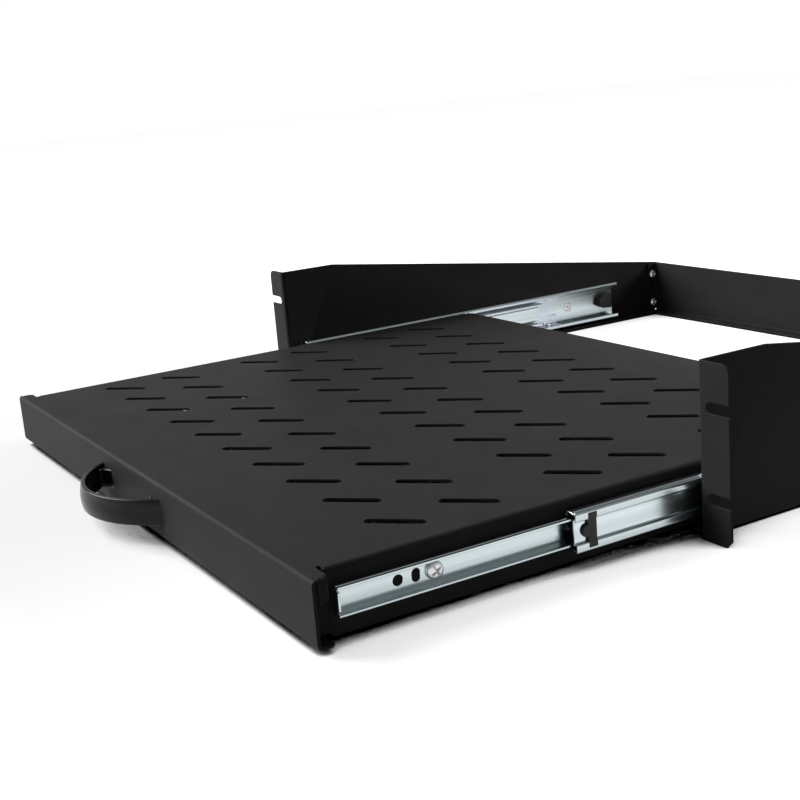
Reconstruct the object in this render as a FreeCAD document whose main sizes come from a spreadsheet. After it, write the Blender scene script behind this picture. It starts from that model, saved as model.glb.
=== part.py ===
import FreeCAD, Part
import math
import os
import re

import Sketcher

# Sliding rack shelf for a 19-inch rack, two units high, with the tray pulled part of the way out.
# X runs across the shelf, Y from the ears to the back, Z up. The origin is the middle of the plane where the
# rear faces of the two ears meet the rack. Lengths are in millimetres.

SIZES = {
    # folded frame
    "rack_width": 482.6,
    "ear_height": 88.1,
    "sheet": 1.5,
    "bend_radius": 0.8,
    "inside_width": 442.0,
    "plate_depth": 360.8,
    "plate_lift": 2.3,
    "shoulder_depth": 41.5,
    "rear_height": 42.1,
    "flange_width": 9.8,
    "fold_gap": 0.6,
    # rack ears
    "ear_slot_pitch": 44.45,
    "ear_slot_width": 6.0,
    "ear_slot_depth": 15.0,
    "ear_corner_radius": 4.5,
    "ear_chamfer": 3.5,
    # rear crossbar
    "crossbar_tab": 9.8,
    "crossbar_flange": 10.7,
    "crossbar_screw_inset": 6.0,
    "crossbar_head_radius": 3.4,
    "crossbar_screw_low": 7.4,
    "crossbar_screw_pitch": 25.1,
    # screws
    "screw_radius": 2.0,
    "screw_clearance": 0.1,
    "screw_skin": 0.4,
    "head_radius": 4.2,
    "head_height": 2.6,
    "head_bevel": 1.4,
    "flat_head_radius": 3.5,
    # tray
    "deck_height": 34.0,
    "tray_width": 419.0,
    "tray_depth": 362.3,
    "tray_drop": 29.0,
    "front_width": 438.0,
    "front_strip": 8.7,
    "fold_relief": 2.3,
    "front_lip": 8.6,
    "end_tab_depth": 4.5,
    "end_tab_height": 11.3,
    "front_standoff": 5.0,
    "tray_out": 200.0,
    # tray slots
    "slot_length": 29.5,
    "slot_width": 4.8,
    "slot_end_chamfer": 1.4,
    "slot_angle": 45.0,
    "slot_pitch": 40.0,
    "slot_columns": 10,
    "slot_row_pairs": 3,
    "slot_row_gap": 60.0,
    "first_slot_row": 62.0,
    # handle
    "handle_width": 92.0,
    "handle_reach": 26.0,
    "handle_height": 19.0,
    "handle_bottom": 8.0,
    "handle_band": 3.0,
    "handle_bulge": 1.8,
    "boss_inner": 29.0,
    "boss_outer": 42.0,
    "boss_depth": 5.0,
    "boss_margin": 1.0,
    "handle_screw_bite": 4.0,
    # slides
    "slide_height": 20.0,
    "rail_start": 8.5,
    "outer_rail_length": 300.0,
    "inner_rail_lead": 2.0,
    "outer_rail_sheet": 1.2,
    "rail_sheet": 1.0,
    "rail_corner": 1.6,
    "outer_rail_height": 30.0,
    "outer_rail_width": 9.6,
    "outer_rail_lip": 3.0,
    "middle_rail_height": 19.1,
    "middle_rail_gap": 2.3,
    "middle_rail_width": 7.9,
    "middle_rail_recess": 1.8,
    "middle_rail_band": 4.35,
    "middle_rail_lip": 2.35,
    "inner_rail_height": 13.3,
    "inner_rail_width": 6.0,
    "end_tab_gap": 0.2,
    "middle_out_left": 59.0,
    "middle_out_right": 82.0,
    # screws and holes along the rails
    "outer_screw_first": 31.5,
    "outer_screw_pitch": 220.5,
    "inner_hole_place": 31.0,
    "inner_hole_radius": 2.5,
    "inner_slot_place": 40.0,
    "inner_slot_width": 4.2,
    "inner_slot_height": 6.2,
    "inner_screw_place": 49.0,
    "inner_screw_pitch": 175.0,
    # balls and cages
    "groove_half_width": 1.0,
    "groove_depth": 0.4,
    "ball_clearance": 0.3,
    "pocket_clearance": 0.2,
    "outer_ball_depth": 4.75,
    "inner_ball_depth": 7.2,
    "balls_per_row": 3,
    "cage_sheet": 0.5,
    "cage_gap": 0.3,
    "cage_margin": 12.0,
    "cage_notch_depth": 8.0,
    "cage_notch_half": 4.0,
    "outer_cage_start": 100.0,
    "outer_cage_length": 169.0,
    "inner_cage_start": 98.0,
    "inner_cage_length": 80.0,
    "inner_cage_near": 5.2,
    "inner_cage_far": 8.9,
    # bumpers and stops
    "bumper_inset": 21.2,
    "bumper_gap": 0.8,
    "bumper_length": 17.5,
    "bumper_half_height": 6.5,
    "bumper_width": 5.0,
    "bumper_corner": 3.0,
    "notch_half_height": 5.0,
    "notch_length": 12.5,
    "stop_place": 7.0,
    "stop_length": 5.0,
    "stop_top": 8.4,
    "stop_bottom": 8.0,
    "stop_inset": 0.2,
    "stop_nose": 3.2,
    "stop_nose_half": 3.2,
    "stop_nose_gap": 0.15,
    # length by which a cutting or joining shape runs past its neighbour, and the flat left by round corners
    "overrun": 1.0,
    "round_flat": 0.1,
}

# Each side's sign across the shelf
SIDES = {"left": "-1", "right": "1"}

# Flats round the screw heads, and round the shanks and balls, which are many and small
HEAD_FLATS = 12
SMALL_FLATS = 8

# Places and sizes that several pieces share, as formulas of the driving sizes
BEND_OUTSIDE = "(bend_radius + sheet)"
EAR_BOTTOM = "(-ear_height / 2)"
PLATE_BOTTOM = f"({EAR_BOTTOM} + plate_lift)"
PLATE_FACE = "(inside_width / 2)"
FLANGE_END = "(plate_depth - crossbar_flange - fold_gap)"
DECK = f"({EAR_BOTTOM} + deck_height)"
TRAY_BOTTOM = f"({DECK} - tray_drop)"
TRAY_SIDE = "(tray_width / 2)"
TRAY_FRONT = "(-sheet - front_standoff - tray_out)"
TRAY_BACK = f"({TRAY_FRONT} + tray_depth)"
DECK_INNER = f"({TRAY_SIDE} - {BEND_OUTSIDE} - fold_relief)"
SLIDE_LEVEL = f"({EAR_BOTTOM} + slide_height)"
SLIDE_ROOM = "((inside_width - tray_width) / 2)"
RAIL_LENGTH = "(outer_rail_length - bumper_inset - bumper_gap)"
INNER_START = "(rail_start - inner_rail_lead - tray_out)"
INNER_LENGTH = f"({RAIL_LENGTH} + inner_rail_lead)"
OUTER_HALF = "(outer_rail_height / 2)"
MIDDLE_HALF = "(middle_rail_height / 2)"
INNER_HALF = "(inner_rail_height / 2)"
MIDDLE_FAR = "(middle_rail_gap + middle_rail_width)"
STEP_HALF = f"({MIDDLE_HALF} - middle_rail_band)"
OUTER_RACE = f"({OUTER_HALF} - outer_rail_sheet + groove_depth)"
MIDDLE_OUTER_RACE = f"({MIDDLE_HALF} - groove_depth)"
MIDDLE_INNER_RACE = f"({MIDDLE_HALF} - rail_sheet + groove_depth)"
INNER_RACE = f"({INNER_HALF} - groove_depth)"
OUTER_BALL_LEVEL = f"(({OUTER_RACE} + {MIDDLE_OUTER_RACE}) / 2)"
INNER_BALL_LEVEL = f"(({MIDDLE_INNER_RACE} + {INNER_RACE}) / 2)"
OUTER_BALL_RADIUS = f"(({OUTER_RACE} - {MIDDLE_OUTER_RACE}) / 2 - ball_clearance)"
INNER_BALL_RADIUS = f"(({MIDDLE_INNER_RACE} - {INNER_RACE}) / 2 - ball_clearance)"
OUTER_CAGE_NEAR = "(outer_rail_sheet + cage_gap)"
OUTER_CAGE_FAR = "(outer_rail_width - outer_rail_sheet - cage_sheet)"
SCREW_HOLE = "(screw_radius + screw_clearance)"
HANDLE_LEVEL = f"({EAR_BOTTOM} + handle_bottom)"
HANDLE_RADIUS = "((handle_width * handle_width / 4 + handle_reach * handle_reach) / (2 * handle_reach))"
HANDLE_CENTRE = f"({TRAY_FRONT} - handle_reach + {HANDLE_RADIUS})"
BOSS_MIDDLE = "((boss_inner + boss_outer) / 2)"
BUMPER_START = "(rail_start + outer_rail_length - bumper_inset)"
NOTCH_START = "(rail_start + outer_rail_length - notch_length)"

doc = FreeCAD.newDocument("sliding_rack_shelf")
sheet = doc.addObject("Spreadsheet::Sheet", "Sizes")
nodes = {}


def fill_sheet():
    for row, (name, size) in enumerate(SIZES.items(), start=1):
        sheet.set(f"A{row}", name)
        sheet.set(f"B{row}", str(size))
        sheet.setAlias(f"B{row}", name)
    doc.recompute()


def qualified(formula):
    """The formula with each size's name pointing at its cell."""
    return re.sub(r"\b[a-z_]{3,}\b", lambda name: "Sizes." + name.group(), formula)


def value(formula):
    return float(sheet.evalExpression(qualified(formula)))


def bind(item, path, formula):
    item.setExpression(path, qualified(formula))


def across(sign, depth):
    """X of a point at this depth from the inner face of a side's plate, counted towards the tray."""
    return f"{sign} * (inside_width / 2 - ({depth}))"


def low_end(sign, near, far):
    """The lower X of the stretch between two depths."""
    return across(sign, far if sign == "1" else near)


def at_slide(height):
    return f"{SLIDE_LEVEL} + ({height})"


def new_body(label):
    body = doc.addObject("PartDesign::Body", label)
    body.Label = label
    nodes[label] = body
    return body


def origin_part(body, role):
    return next(item for item in body.Origin.OriginFeatures if item.Role == role)


def attach(item, body, plane, place):
    """Lays an item on an origin plane, moved by formulas along the plane's own two axes and its normal."""
    item.AttachmentSupport = (origin_part(body, plane + "_Plane"), "")
    item.MapMode = "FlatFace"
    for axis, formula in zip("xyz", place):
        bind(item, f"AttachmentOffset.Base.{axis}", formula)


def new_sketch(body, plane, start="0", centre=("0", "0")):
    """A sketch whose plane stands at start along the normal's own axis of the shelf."""
    sketch = body.newObject("Sketcher::SketchObject", "Sketch")
    facing = "-1" if plane == "XZ" else "1"
    attach(sketch, body, plane, (*centre, f"{facing} * ({start})"))
    return sketch


def is_upright(sketch):
    """Whether the sketch lies on the XZ plane, whose normal points to the front."""
    return sketch.AttachmentSupport[0][0].Role == "XZ_Plane"


def constrain(sketch, constraint, formula):
    index = sketch.addConstraint(constraint)
    bind(sketch, f"Constraints[{index}]", formula)


def fix_point(sketch, edge, end, u_formula, v_formula):
    constrain(sketch, Sketcher.Constraint("DistanceX", -1, 1, edge, end, value(u_formula)), u_formula)
    constrain(sketch, Sketcher.Constraint("DistanceY", -1, 1, edge, end, value(v_formula)), v_formula)


def arc_between(first, last, centre):
    """The shorter arc from first to last, and which of its ends lies at first."""
    radius = (first - centre).Length
    angles = [math.atan2(p.y - centre.y, p.x - centre.x) for p in (first, last)]
    turns_left = (first - centre).cross(last - centre).z > 0
    if not turns_left:
        angles.reverse()
    if angles[1] < angles[0]:
        angles[1] += 2 * math.pi
    circle = Part.Circle(centre, FreeCAD.Vector(0, 0, 1), radius)
    return Part.ArcOfCircle(circle, angles[0], angles[1]), (1, 2) if turns_left else (2, 1)


def folded_outline(sketch, lines, radii=None):
    """A closed outline of lines that are upright and level by turns, each held by one formula.

    radii gives the radius at corner i, where line i meets the next.
    """
    radii = radii or {}
    count = len(lines)
    at = [value(formula) for formula in lines]
    corners = []
    for i in range(count):
        after = at[(i + 1) % count]
        corners.append(FreeCAD.Vector(at[i], after) if i % 2 == 0 else FreeCAD.Vector(after, at[i]))
    ways = [(corners[i] - corners[i - 1]).normalize() for i in range(count)]
    sizes = [value(radii[i]) if i in radii else 0.0 for i in range(count)]
    first = sketch.GeometryCount
    for i in range(count):
        begin = corners[i - 1] + ways[i] * sizes[i - 1]
        end = corners[i] - ways[i] * sizes[i]
        sketch.addGeometry(Part.LineSegment(begin, end))
    for i, formula in enumerate(lines):
        edge = first + i
        upright = i % 2 == 0
        sketch.addConstraint(Sketcher.Constraint("Vertical" if upright else "Horizontal", edge))
        kind = "DistanceX" if upright else "DistanceY"
        constrain(sketch, Sketcher.Constraint(kind, -1, 1, edge, 1, at[i]), formula)
    for i in range(count):
        edge = first + i
        following = first + (i + 1) % count
        if i not in radii:
            sketch.addConstraint(Sketcher.Constraint("Coincident", edge, 2, following, 1))
            continue
        out = ways[(i + 1) % count]
        begin = corners[i] - ways[i] * sizes[i]
        bend, ends = arc_between(begin, corners[i] + out * sizes[i], begin + out * sizes[i])
        arc = sketch.addGeometry(bend)
        sketch.addConstraint(Sketcher.Constraint("Tangent", edge, 2, arc, ends[0]))
        sketch.addConstraint(Sketcher.Constraint("Tangent", arc, ends[1], following, 1))
        constrain(sketch, Sketcher.Constraint("Radius", arc, sizes[i]), radii[i])


def pointed_outline(sketch, points):
    """A closed outline through points. A point with a radius and a centre starts an arc to the next one."""
    count = len(points)
    places = [FreeCAD.Vector(value(p[0]), value(p[1])) for p in points]
    first = sketch.GeometryCount
    begins = []
    ends = []
    for i, point in enumerate(points):
        following = places[(i + 1) % count]
        if len(point) == 2:
            sketch.addGeometry(Part.LineSegment(places[i], following))
            begins.append(1)
            ends.append(2)
        else:
            centre = FreeCAD.Vector(value(point[3]), value(point[4]))
            arc, order = arc_between(places[i], following, centre)
            sketch.addGeometry(arc)
            begins.append(order[0])
            ends.append(order[1])
    for i, point in enumerate(points):
        after = (i + 1) % count
        sketch.addConstraint(
            Sketcher.Constraint("Coincident", first + i, ends[i], first + after, begins[after])
        )
        fix_point(sketch, first + i, begins[i], point[0], point[1])
        if len(point) > 2:
            constrain(sketch, Sketcher.Constraint("Radius", first + i, value(point[2])), point[2])


def round_hole(sketch, u_formula, v_formula, radius):
    middle = FreeCAD.Vector(value(u_formula), value(v_formula))
    circle = sketch.addGeometry(Part.Circle(middle, FreeCAD.Vector(0, 0, 1), value(radius)))
    fix_point(sketch, circle, 3, u_formula, v_formula)
    constrain(sketch, Sketcher.Constraint("Radius", circle, value(radius)), radius)


def screw_hole(sketch, u_formula, v_formula):
    """Hole with flat sides around a screw's shank."""
    corner = 1 / math.cos(math.pi / SMALL_FLATS)
    points = []
    for i in range(SMALL_FLATS):
        angle = 2 * math.pi * (i + 0.5) / SMALL_FLATS
        u_share = round(corner * math.cos(angle), 6)
        v_share = round(corner * math.sin(angle), 6)
        points.append((f"{u_formula} + {u_share} * {SCREW_HOLE}", f"{v_formula} + {v_share} * {SCREW_HOLE}"))
    pointed_outline(sketch, points)


def pad(body, sketch, length):
    """Grows the sketch towards the plus side of its normal's axis."""
    feature = body.newObject("PartDesign::Pad", "Pad")
    feature.Profile = sketch
    feature.Reversed = is_upright(sketch)
    bind(feature, "Length", length)
    return feature


def pocket(body, sketch, length):
    """Cuts the sketch's shape towards the plus side of its normal's axis."""
    doc.recompute()
    before = body.Shape.Volume
    feature = body.newObject("PartDesign::Pocket", "Pocket")
    feature.Profile = sketch
    feature.Reversed = not is_upright(sketch)
    bind(feature, "Length", length)
    doc.recompute()
    if body.Shape.Volume >= before:
        raise RuntimeError(f"a cut in {body.Label} removes nothing")
    return feature


def revolve(body, sketch, axis, angle="360"):
    feature = body.newObject("PartDesign::Revolution", "Revolution")
    feature.Profile = sketch
    feature.ReferenceAxis = (sketch, [axis])
    feature.Midplane = True
    bind(feature, "Angle", angle)
    return feature


def repeat(body, features, axis, count, spacing, second=None):
    """Copies features along an axis, and along a second one when it is given as (axis, count, spacing)."""
    pattern = body.newObject("PartDesign::LinearPattern", "Pattern")
    pattern.Originals = features
    pattern.Direction = (origin_part(body, axis + "_Axis"), [""])
    pattern.Mode = "Spacing"
    bind(pattern, "Occurrences", count)
    bind(pattern, "Offset", spacing)
    if second:
        pattern.Direction2 = (origin_part(body, second[0] + "_Axis"), [""])
        bind(pattern, "Occurrences2", second[1])
        bind(pattern, "Length2", f"({second[1]} - 1) * ({second[2]})")
    body.Tip = pattern
    return pattern


def prism(body, plane, place, flats, radius, height):
    feature = body.newObject("PartDesign::AdditivePrism", "Prism")
    feature.Polygon = flats
    attach(feature, body, plane, place)
    bind(feature, "Circumradius", radius)
    bind(feature, "Height", height)
    return feature


def bevel(body, base, ways, size):
    """Chamfers the edges of a prism's end faces that look along the given ways."""
    doc.recompute()
    middles = [base.Placement.multVec(FreeCAD.Vector(0, 0, height)) for height in (0, base.Height.Value)]
    ends = []
    for i, face in enumerate(base.Shape.Faces, start=1):
        looks = any(face.normalAt(0, 0).dot(FreeCAD.Vector(*way)) > 0.9 for way in ways)
        if looks and min(face.CenterOfMass.distanceToPoint(middle) for middle in middles) < value("round_flat"):
            ends.append(f"Face{i}")
    feature = body.newObject("PartDesign::Chamfer", "Chamfer")
    feature.Base = (base, ends)
    bind(feature, "Size", size)
    return feature


def cross_screw(body, head_way, seat, length, head, height, bevel_size, bevel_way, place):
    """A screw across the shelf, with its head on the head_way side of the seat."""
    low = f"{seat} - {height}" if head_way < 0 else seat
    top = prism(body, "YZ", (*place, low), HEAD_FLATS, head, height)
    bevel(body, top, [(bevel_way, 0, 0)], bevel_size)
    shank_low = seat if head_way < 0 else f"{seat} - ({length})"
    prism(body, "YZ", (*place, shank_low), SMALL_FLATS, "screw_radius", length)


def make_side_bracket(side, sign):
    body = new_body(f"{side}_side_bracket")
    outer_face = f"({PLATE_FACE} + sheet)"
    fold_side = f"({outer_face} + {BEND_OUTSIDE})"

    # plate and the root of the ear, folded from one sheet
    fold = new_sketch(body, "XY", EAR_BOTTOM)
    lines = [f"{sign} * {PLATE_FACE}", "-sheet", f"{sign} * {fold_side}", "0", f"{sign} * {outer_face}"]
    folded_outline(fold, [*lines, "plate_depth"], {0: BEND_OUTSIDE, 3: "bend_radius"})
    pad(body, fold, "ear_height")

    # flat of the ear, rounded above and clipped below
    edge = "(rack_width / 2)"
    ear = new_sketch(body, "XZ", "-sheet")
    round_x = f"{sign} * ({edge} - ear_corner_radius)"
    round_z = "ear_height / 2 - ear_corner_radius"
    pointed_outline(
        ear,
        [
            (f"{sign} * {outer_face}", EAR_BOTTOM),
            (f"{sign} * ({edge} - ear_chamfer)", EAR_BOTTOM),
            (f"{sign} * {edge}", f"{EAR_BOTTOM} + ear_chamfer"),
            (f"{sign} * {edge}", round_z, "ear_corner_radius", round_x, round_z),
            (round_x, "ear_height / 2"),
            (f"{sign} * {outer_face}", "ear_height / 2"),
        ],
    )
    pad(body, ear, "sheet")

    # two slots, open at the ear's outer edge
    slots = new_sketch(body, "XZ", "-sheet - overrun")
    inner_end = f"{sign} * ({edge} - ear_slot_depth)"
    slot_corner = "ear_slot_width / 2 - round_flat"
    for row in ("-1", "1"):
        middle = f"{row} * ear_slot_pitch / 2"
        folded_outline(
            slots,
            [
                inner_end,
                f"{middle} + ear_slot_width / 2",
                f"{sign} * ({edge} + overrun)",
                f"{middle} - ear_slot_width / 2",
            ],
            {0: slot_corner, 3: slot_corner},
        )
    pocket(body, slots, "sheet + 2 * overrun")

    # tapered top edge and lower edge
    trim = new_sketch(body, "YZ", low_end(sign, "-sheet - overrun", "overrun"))
    rear_top = f"{PLATE_BOTTOM} + rear_height"
    top = "ear_height / 2"
    pointed_outline(
        trim,
        [
            ("shoulder_depth", top),
            ("plate_depth", rear_top),
            ("plate_depth + overrun", rear_top),
            ("plate_depth + overrun", f"{top} + overrun"),
            ("shoulder_depth", f"{top} + overrun"),
        ],
    )
    folded_outline(
        trim,
        [
            BEND_OUTSIDE,
            f"{PLATE_BOTTOM} + {BEND_OUTSIDE}",
            "plate_depth + overrun",
            f"{EAR_BOTTOM} - overrun",
        ],
    )
    pocket(body, trim, "sheet + 2 * overrun")

    # screw holes from inside, which leave the outer face whole
    holes = new_sketch(body, "YZ", low_end(sign, "screw_skin - sheet", "overrun"))
    for row in range(2):
        height = f"{PLATE_BOTTOM} + crossbar_screw_low + {row} * crossbar_screw_pitch"
        screw_hole(holes, "plate_depth - crossbar_screw_inset", height)
        place = f"rail_start + outer_screw_first + {row} * outer_screw_pitch"
        screw_hole(holes, place, SLIDE_LEVEL)
    pocket(body, holes, "sheet - screw_skin + overrun")

    # inward flange along the bottom
    flange = new_sketch(body, "XZ", f"2 * {BEND_OUTSIDE}")
    folded_outline(
        flange,
        [
            f"{sign} * {outer_face}",
            PLATE_BOTTOM,
            f"{sign} * ({PLATE_FACE} - flange_width)",
            f"{PLATE_BOTTOM} + sheet",
            f"{sign} * {PLATE_FACE}",
            f"{PLATE_BOTTOM} + 2 * {BEND_OUTSIDE}",
        ],
        {0: BEND_OUTSIDE, 3: "bend_radius"},
    )
    pad(body, flange, f"{FLANGE_END} - 2 * {BEND_OUTSIDE}")


def make_rear_crossbar():
    body = new_body("rear_crossbar")
    web = new_sketch(body, "XY", f"{PLATE_BOTTOM} + {BEND_OUTSIDE}")
    folded_outline(
        web,
        [
            f"-{PLATE_FACE}",
            "plate_depth",
            PLATE_FACE,
            "plate_depth - crossbar_tab",
            f"{PLATE_FACE} - sheet",
            "plate_depth - sheet",
            f"sheet - {PLATE_FACE}",
            "plate_depth - crossbar_tab",
        ],
        {0: BEND_OUTSIDE, 1: BEND_OUTSIDE, 4: "bend_radius", 5: "bend_radius"},
    )
    pad(body, web, f"rear_height - {BEND_OUTSIDE}")

    half = f"({PLATE_FACE} - flange_width - fold_gap)"
    flange = new_sketch(body, "YZ", f"-{half}")
    folded_outline(
        flange,
        [
            "plate_depth",
            PLATE_BOTTOM,
            "plate_depth - crossbar_flange",
            f"{PLATE_BOTTOM} + sheet",
            "plate_depth - sheet",
            f"{PLATE_BOTTOM} + 2 * {BEND_OUTSIDE}",
        ],
        {0: BEND_OUTSIDE, 3: "bend_radius"},
    )
    pad(body, flange, f"2 * {half}")

    holes = new_sketch(body, "YZ", f"-{PLATE_FACE} - overrun")
    for row in range(2):
        height = f"{PLATE_BOTTOM} + crossbar_screw_low + {row} * crossbar_screw_pitch"
        screw_hole(holes, "plate_depth - crossbar_screw_inset", height)
    pocket(body, holes, "inside_width + 2 * overrun")


def rail_section(body, sign, start, upper, web, radii):
    """Sketches a rail's cross-section from its upper half, a list of depths and heights above the slide's middle.

    The lower half mirrors the upper one, and web is the depth of the upright line that joins them.
    """
    sketch = new_sketch(body, "XZ", start)
    lines = []
    for depth, height in upper:
        lines += [across(sign, depth), at_slide(height)]
    lines.append(across(sign, web))
    for depth, height in reversed(upper):
        lines += [at_slide(f"-({height})"), across(sign, depth)]
    lines.pop()
    mirrored = {len(lines) - 1 - corner: radius for corner, radius in radii.items()}
    folded_outline(sketch, lines, {**radii, **mirrored})
    return sketch


def make_crossbar_screws():
    body = new_body("crossbar_screws")
    sizes = ("crossbar_head_radius", "head_height", "head_bevel")
    for sign in SIDES.values():
        way = -int(sign)
        for row in range(2):
            height = f"{PLATE_BOTTOM} + crossbar_screw_low + {row} * crossbar_screw_pitch"
            place = ("plate_depth - crossbar_screw_inset", height)
            cross_screw(body, way, across(sign, "sheet"), "2 * sheet - screw_skin", *sizes, way, place)


def make_outer_rail(side, sign):
    body = new_body(f"outer_rail_{side}")
    inner = f"({OUTER_HALF} - outer_rail_sheet)"
    upper = [
        ("0", OUTER_HALF),
        ("outer_rail_width", f"{OUTER_HALF} - outer_rail_lip"),
        ("outer_rail_width - outer_rail_sheet", inner),
        ("outer_ball_depth + groove_half_width", OUTER_RACE),
        ("outer_ball_depth - groove_half_width", inner),
    ]
    radii = {0: "rail_corner", 1: "rail_corner"}
    profile = rail_section(body, sign, "rail_start", upper, "outer_rail_sheet", radii)
    pad(body, profile, "outer_rail_length")

    # open notch at the back for the bumper's root
    notch = new_sketch(body, "YZ", low_end(sign, "-overrun", "outer_rail_sheet + overrun"))
    folded_outline(
        notch,
        [
            NOTCH_START,
            at_slide("notch_half_height"),
            f"{NOTCH_START} + notch_length + overrun",
            at_slide("-notch_half_height"),
        ],
    )
    pocket(body, notch, "outer_rail_sheet + 2 * overrun")

    # countersunk screw holes
    wide, narrow = ("Radius1", "Radius2") if sign == "1" else ("Radius2", "Radius1")
    for row in range(2):
        sink = body.newObject("PartDesign::SubtractiveCone", "Countersink")
        place = f"rail_start + outer_screw_first + {row} * outer_screw_pitch"
        attach(sink, body, "YZ", (place, SLIDE_LEVEL, low_end(sign, "0", "outer_rail_sheet")))
        bind(sink, wide, "flat_head_radius + round_flat + screw_clearance")
        bind(sink, narrow, "flat_head_radius + round_flat + screw_clearance - outer_rail_sheet")
        bind(sink, "Height", "outer_rail_sheet")


def make_outer_rail_screws():
    body = new_body("outer_rail_screws")
    sizes = ("flat_head_radius", "outer_rail_sheet", "outer_rail_sheet - round_flat")
    for sign in SIDES.values():
        way = -int(sign)
        for row in range(2):
            place = (f"rail_start + outer_screw_first + {row} * outer_screw_pitch", SLIDE_LEVEL)
            cross_screw(body, way, across(sign, "0"), "sheet - screw_skin", *sizes, -way, place)


def make_rail_bumper(side, sign):
    body = new_body(f"rail_bumper_{side}")
    far = "outer_rail_sheet + bumper_width"
    block = new_sketch(body, "YZ", low_end(sign, "outer_rail_sheet", far))
    folded_outline(
        block,
        [
            BUMPER_START,
            at_slide("bumper_half_height"),
            f"{BUMPER_START} + bumper_length",
            at_slide("-bumper_half_height"),
        ],
        {0: "bumper_corner", 3: "bumper_corner"},
    )
    pad(body, block, "bumper_width")
    root = new_sketch(body, "YZ", low_end(sign, "0", "outer_rail_sheet"))
    folded_outline(
        root,
        [
            NOTCH_START,
            at_slide("notch_half_height"),
            f"{BUMPER_START} + bumper_length",
            at_slide("-notch_half_height"),
        ],
    )
    pad(body, root, "outer_rail_sheet")


def make_middle_rail(side, sign):
    body = new_body(f"middle_rail_{side}")
    start = f"rail_start - middle_out_{side}"
    inner = f"({MIDDLE_HALF} - rail_sheet)"
    upper = [
        ("middle_rail_gap", MIDDLE_HALF),
        ("outer_ball_depth - groove_half_width", MIDDLE_OUTER_RACE),
        ("outer_ball_depth + groove_half_width", MIDDLE_HALF),
        (MIDDLE_FAR, f"{MIDDLE_HALF} - middle_rail_lip"),
        (f"{MIDDLE_FAR} - rail_sheet", inner),
        ("inner_ball_depth + groove_half_width", MIDDLE_INNER_RACE),
        ("inner_ball_depth - groove_half_width", inner),
        ("middle_rail_gap + rail_sheet", f"{STEP_HALF} + rail_sheet"),
    ]
    lines = []
    for depth, height in upper:
        lines += [across(sign, depth), at_slide(height)]
    lines.append(across(sign, "middle_rail_gap + middle_rail_recess + rail_sheet"))
    for depth, height in reversed(upper):
        lines += [at_slide(f"-({height})"), across(sign, depth)]
    lines += [
        at_slide(f"-{STEP_HALF}"),
        across(sign, "middle_rail_gap + middle_rail_recess"),
        at_slide(STEP_HALF),
    ]
    bottom = 4 * len(upper) - 1
    corners = (0, 5, bottom - 5, bottom)
    sketch = new_sketch(body, "XZ", start)
    folded_outline(sketch, lines, {corner: "rail_sheet" for corner in corners})
    pad(body, sketch, RAIL_LENGTH)

    # cut-out for the stop: an upright opening with a round nose towards the front
    far = "middle_rail_gap + middle_rail_recess + rail_sheet + overrun"
    opening = new_sketch(body, "YZ", low_end(sign, "middle_rail_gap - overrun", far))
    stop_outline(opening, start, "0")
    pocket(body, opening, "middle_rail_recess + rail_sheet + 2 * overrun")


def stop_outline(sketch, rail_start, nose_gap):
    """Side view of a stop, with its round nose to the front, and of the opening that it fills."""
    front = f"({rail_start} + stop_place)"
    half = f"(stop_nose_half - {nose_gap})"
    nose_corner = f"{half} - round_flat"
    folded_outline(
        sketch,
        [
            f"{front} - stop_nose + {nose_gap}",
            at_slide(half),
            front,
            at_slide("stop_top"),
            f"{front} + stop_length",
            at_slide("-stop_bottom"),
            front,
            at_slide(f"-{half}"),
        ],
        {0: nose_corner, 7: nose_corner},
    )


def make_rail_stop(side, sign):
    body = new_body(f"rail_stop_{side}")
    near = "middle_rail_gap + stop_inset"
    far = "middle_rail_gap + middle_rail_recess + rail_sheet"
    sketch = new_sketch(body, "YZ", low_end(sign, near, far))
    stop_outline(sketch, f"rail_start - middle_out_{side}", "stop_nose_gap")
    pad(body, sketch, "middle_rail_recess + rail_sheet - stop_inset")


def make_inner_rail(side, sign):
    body = new_body(f"inner_rail_{side}")
    tip = f"({SLIDE_ROOM} - inner_rail_width)"
    inner = f"({INNER_HALF} - rail_sheet)"
    upper = [
        (SLIDE_ROOM, INNER_HALF),
        ("inner_ball_depth + groove_half_width", INNER_RACE),
        ("inner_ball_depth - groove_half_width", INNER_HALF),
        (tip, inner),
    ]
    profile = rail_section(body, sign, INNER_START, upper, f"{SLIDE_ROOM} - rail_sheet", {0: "rail_sheet"})
    pad(body, profile, INNER_LENGTH)

    # tab bent across the front end
    tab = new_sketch(body, "XZ", INNER_START)
    folded_outline(
        tab,
        [
            across(sign, f"{tip} + end_tab_gap"),
            at_slide(f"{inner} - end_tab_gap"),
            across(sign, SLIDE_ROOM),
            at_slide(f"end_tab_gap - {inner}"),
        ],
    )
    pad(body, tab, "rail_sheet")

    # round hole, upright slot and screw holes in the web
    web_back = f"{SLIDE_ROOM} - rail_sheet - overrun"
    holes = new_sketch(body, "YZ", low_end(sign, web_back, f"{SLIDE_ROOM} + overrun"))
    round_hole(holes, f"{INNER_START} + inner_hole_place", SLIDE_LEVEL, "inner_hole_radius")
    slot_middle = f"{INNER_START} + inner_slot_place"
    corner = "inner_slot_width / 2 - round_flat"
    folded_outline(
        holes,
        [
            f"{slot_middle} - inner_slot_width / 2",
            at_slide("inner_slot_height / 2"),
            f"{slot_middle} + inner_slot_width / 2",
            at_slide("-inner_slot_height / 2"),
        ],
        {i: corner for i in range(4)},
    )
    for row in range(2):
        place = f"{INNER_START} + inner_screw_place + {row} * inner_screw_pitch"
        screw_hole(holes, place, SLIDE_LEVEL)
    pocket(body, holes, "rail_sheet + 2 * overrun")


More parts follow.
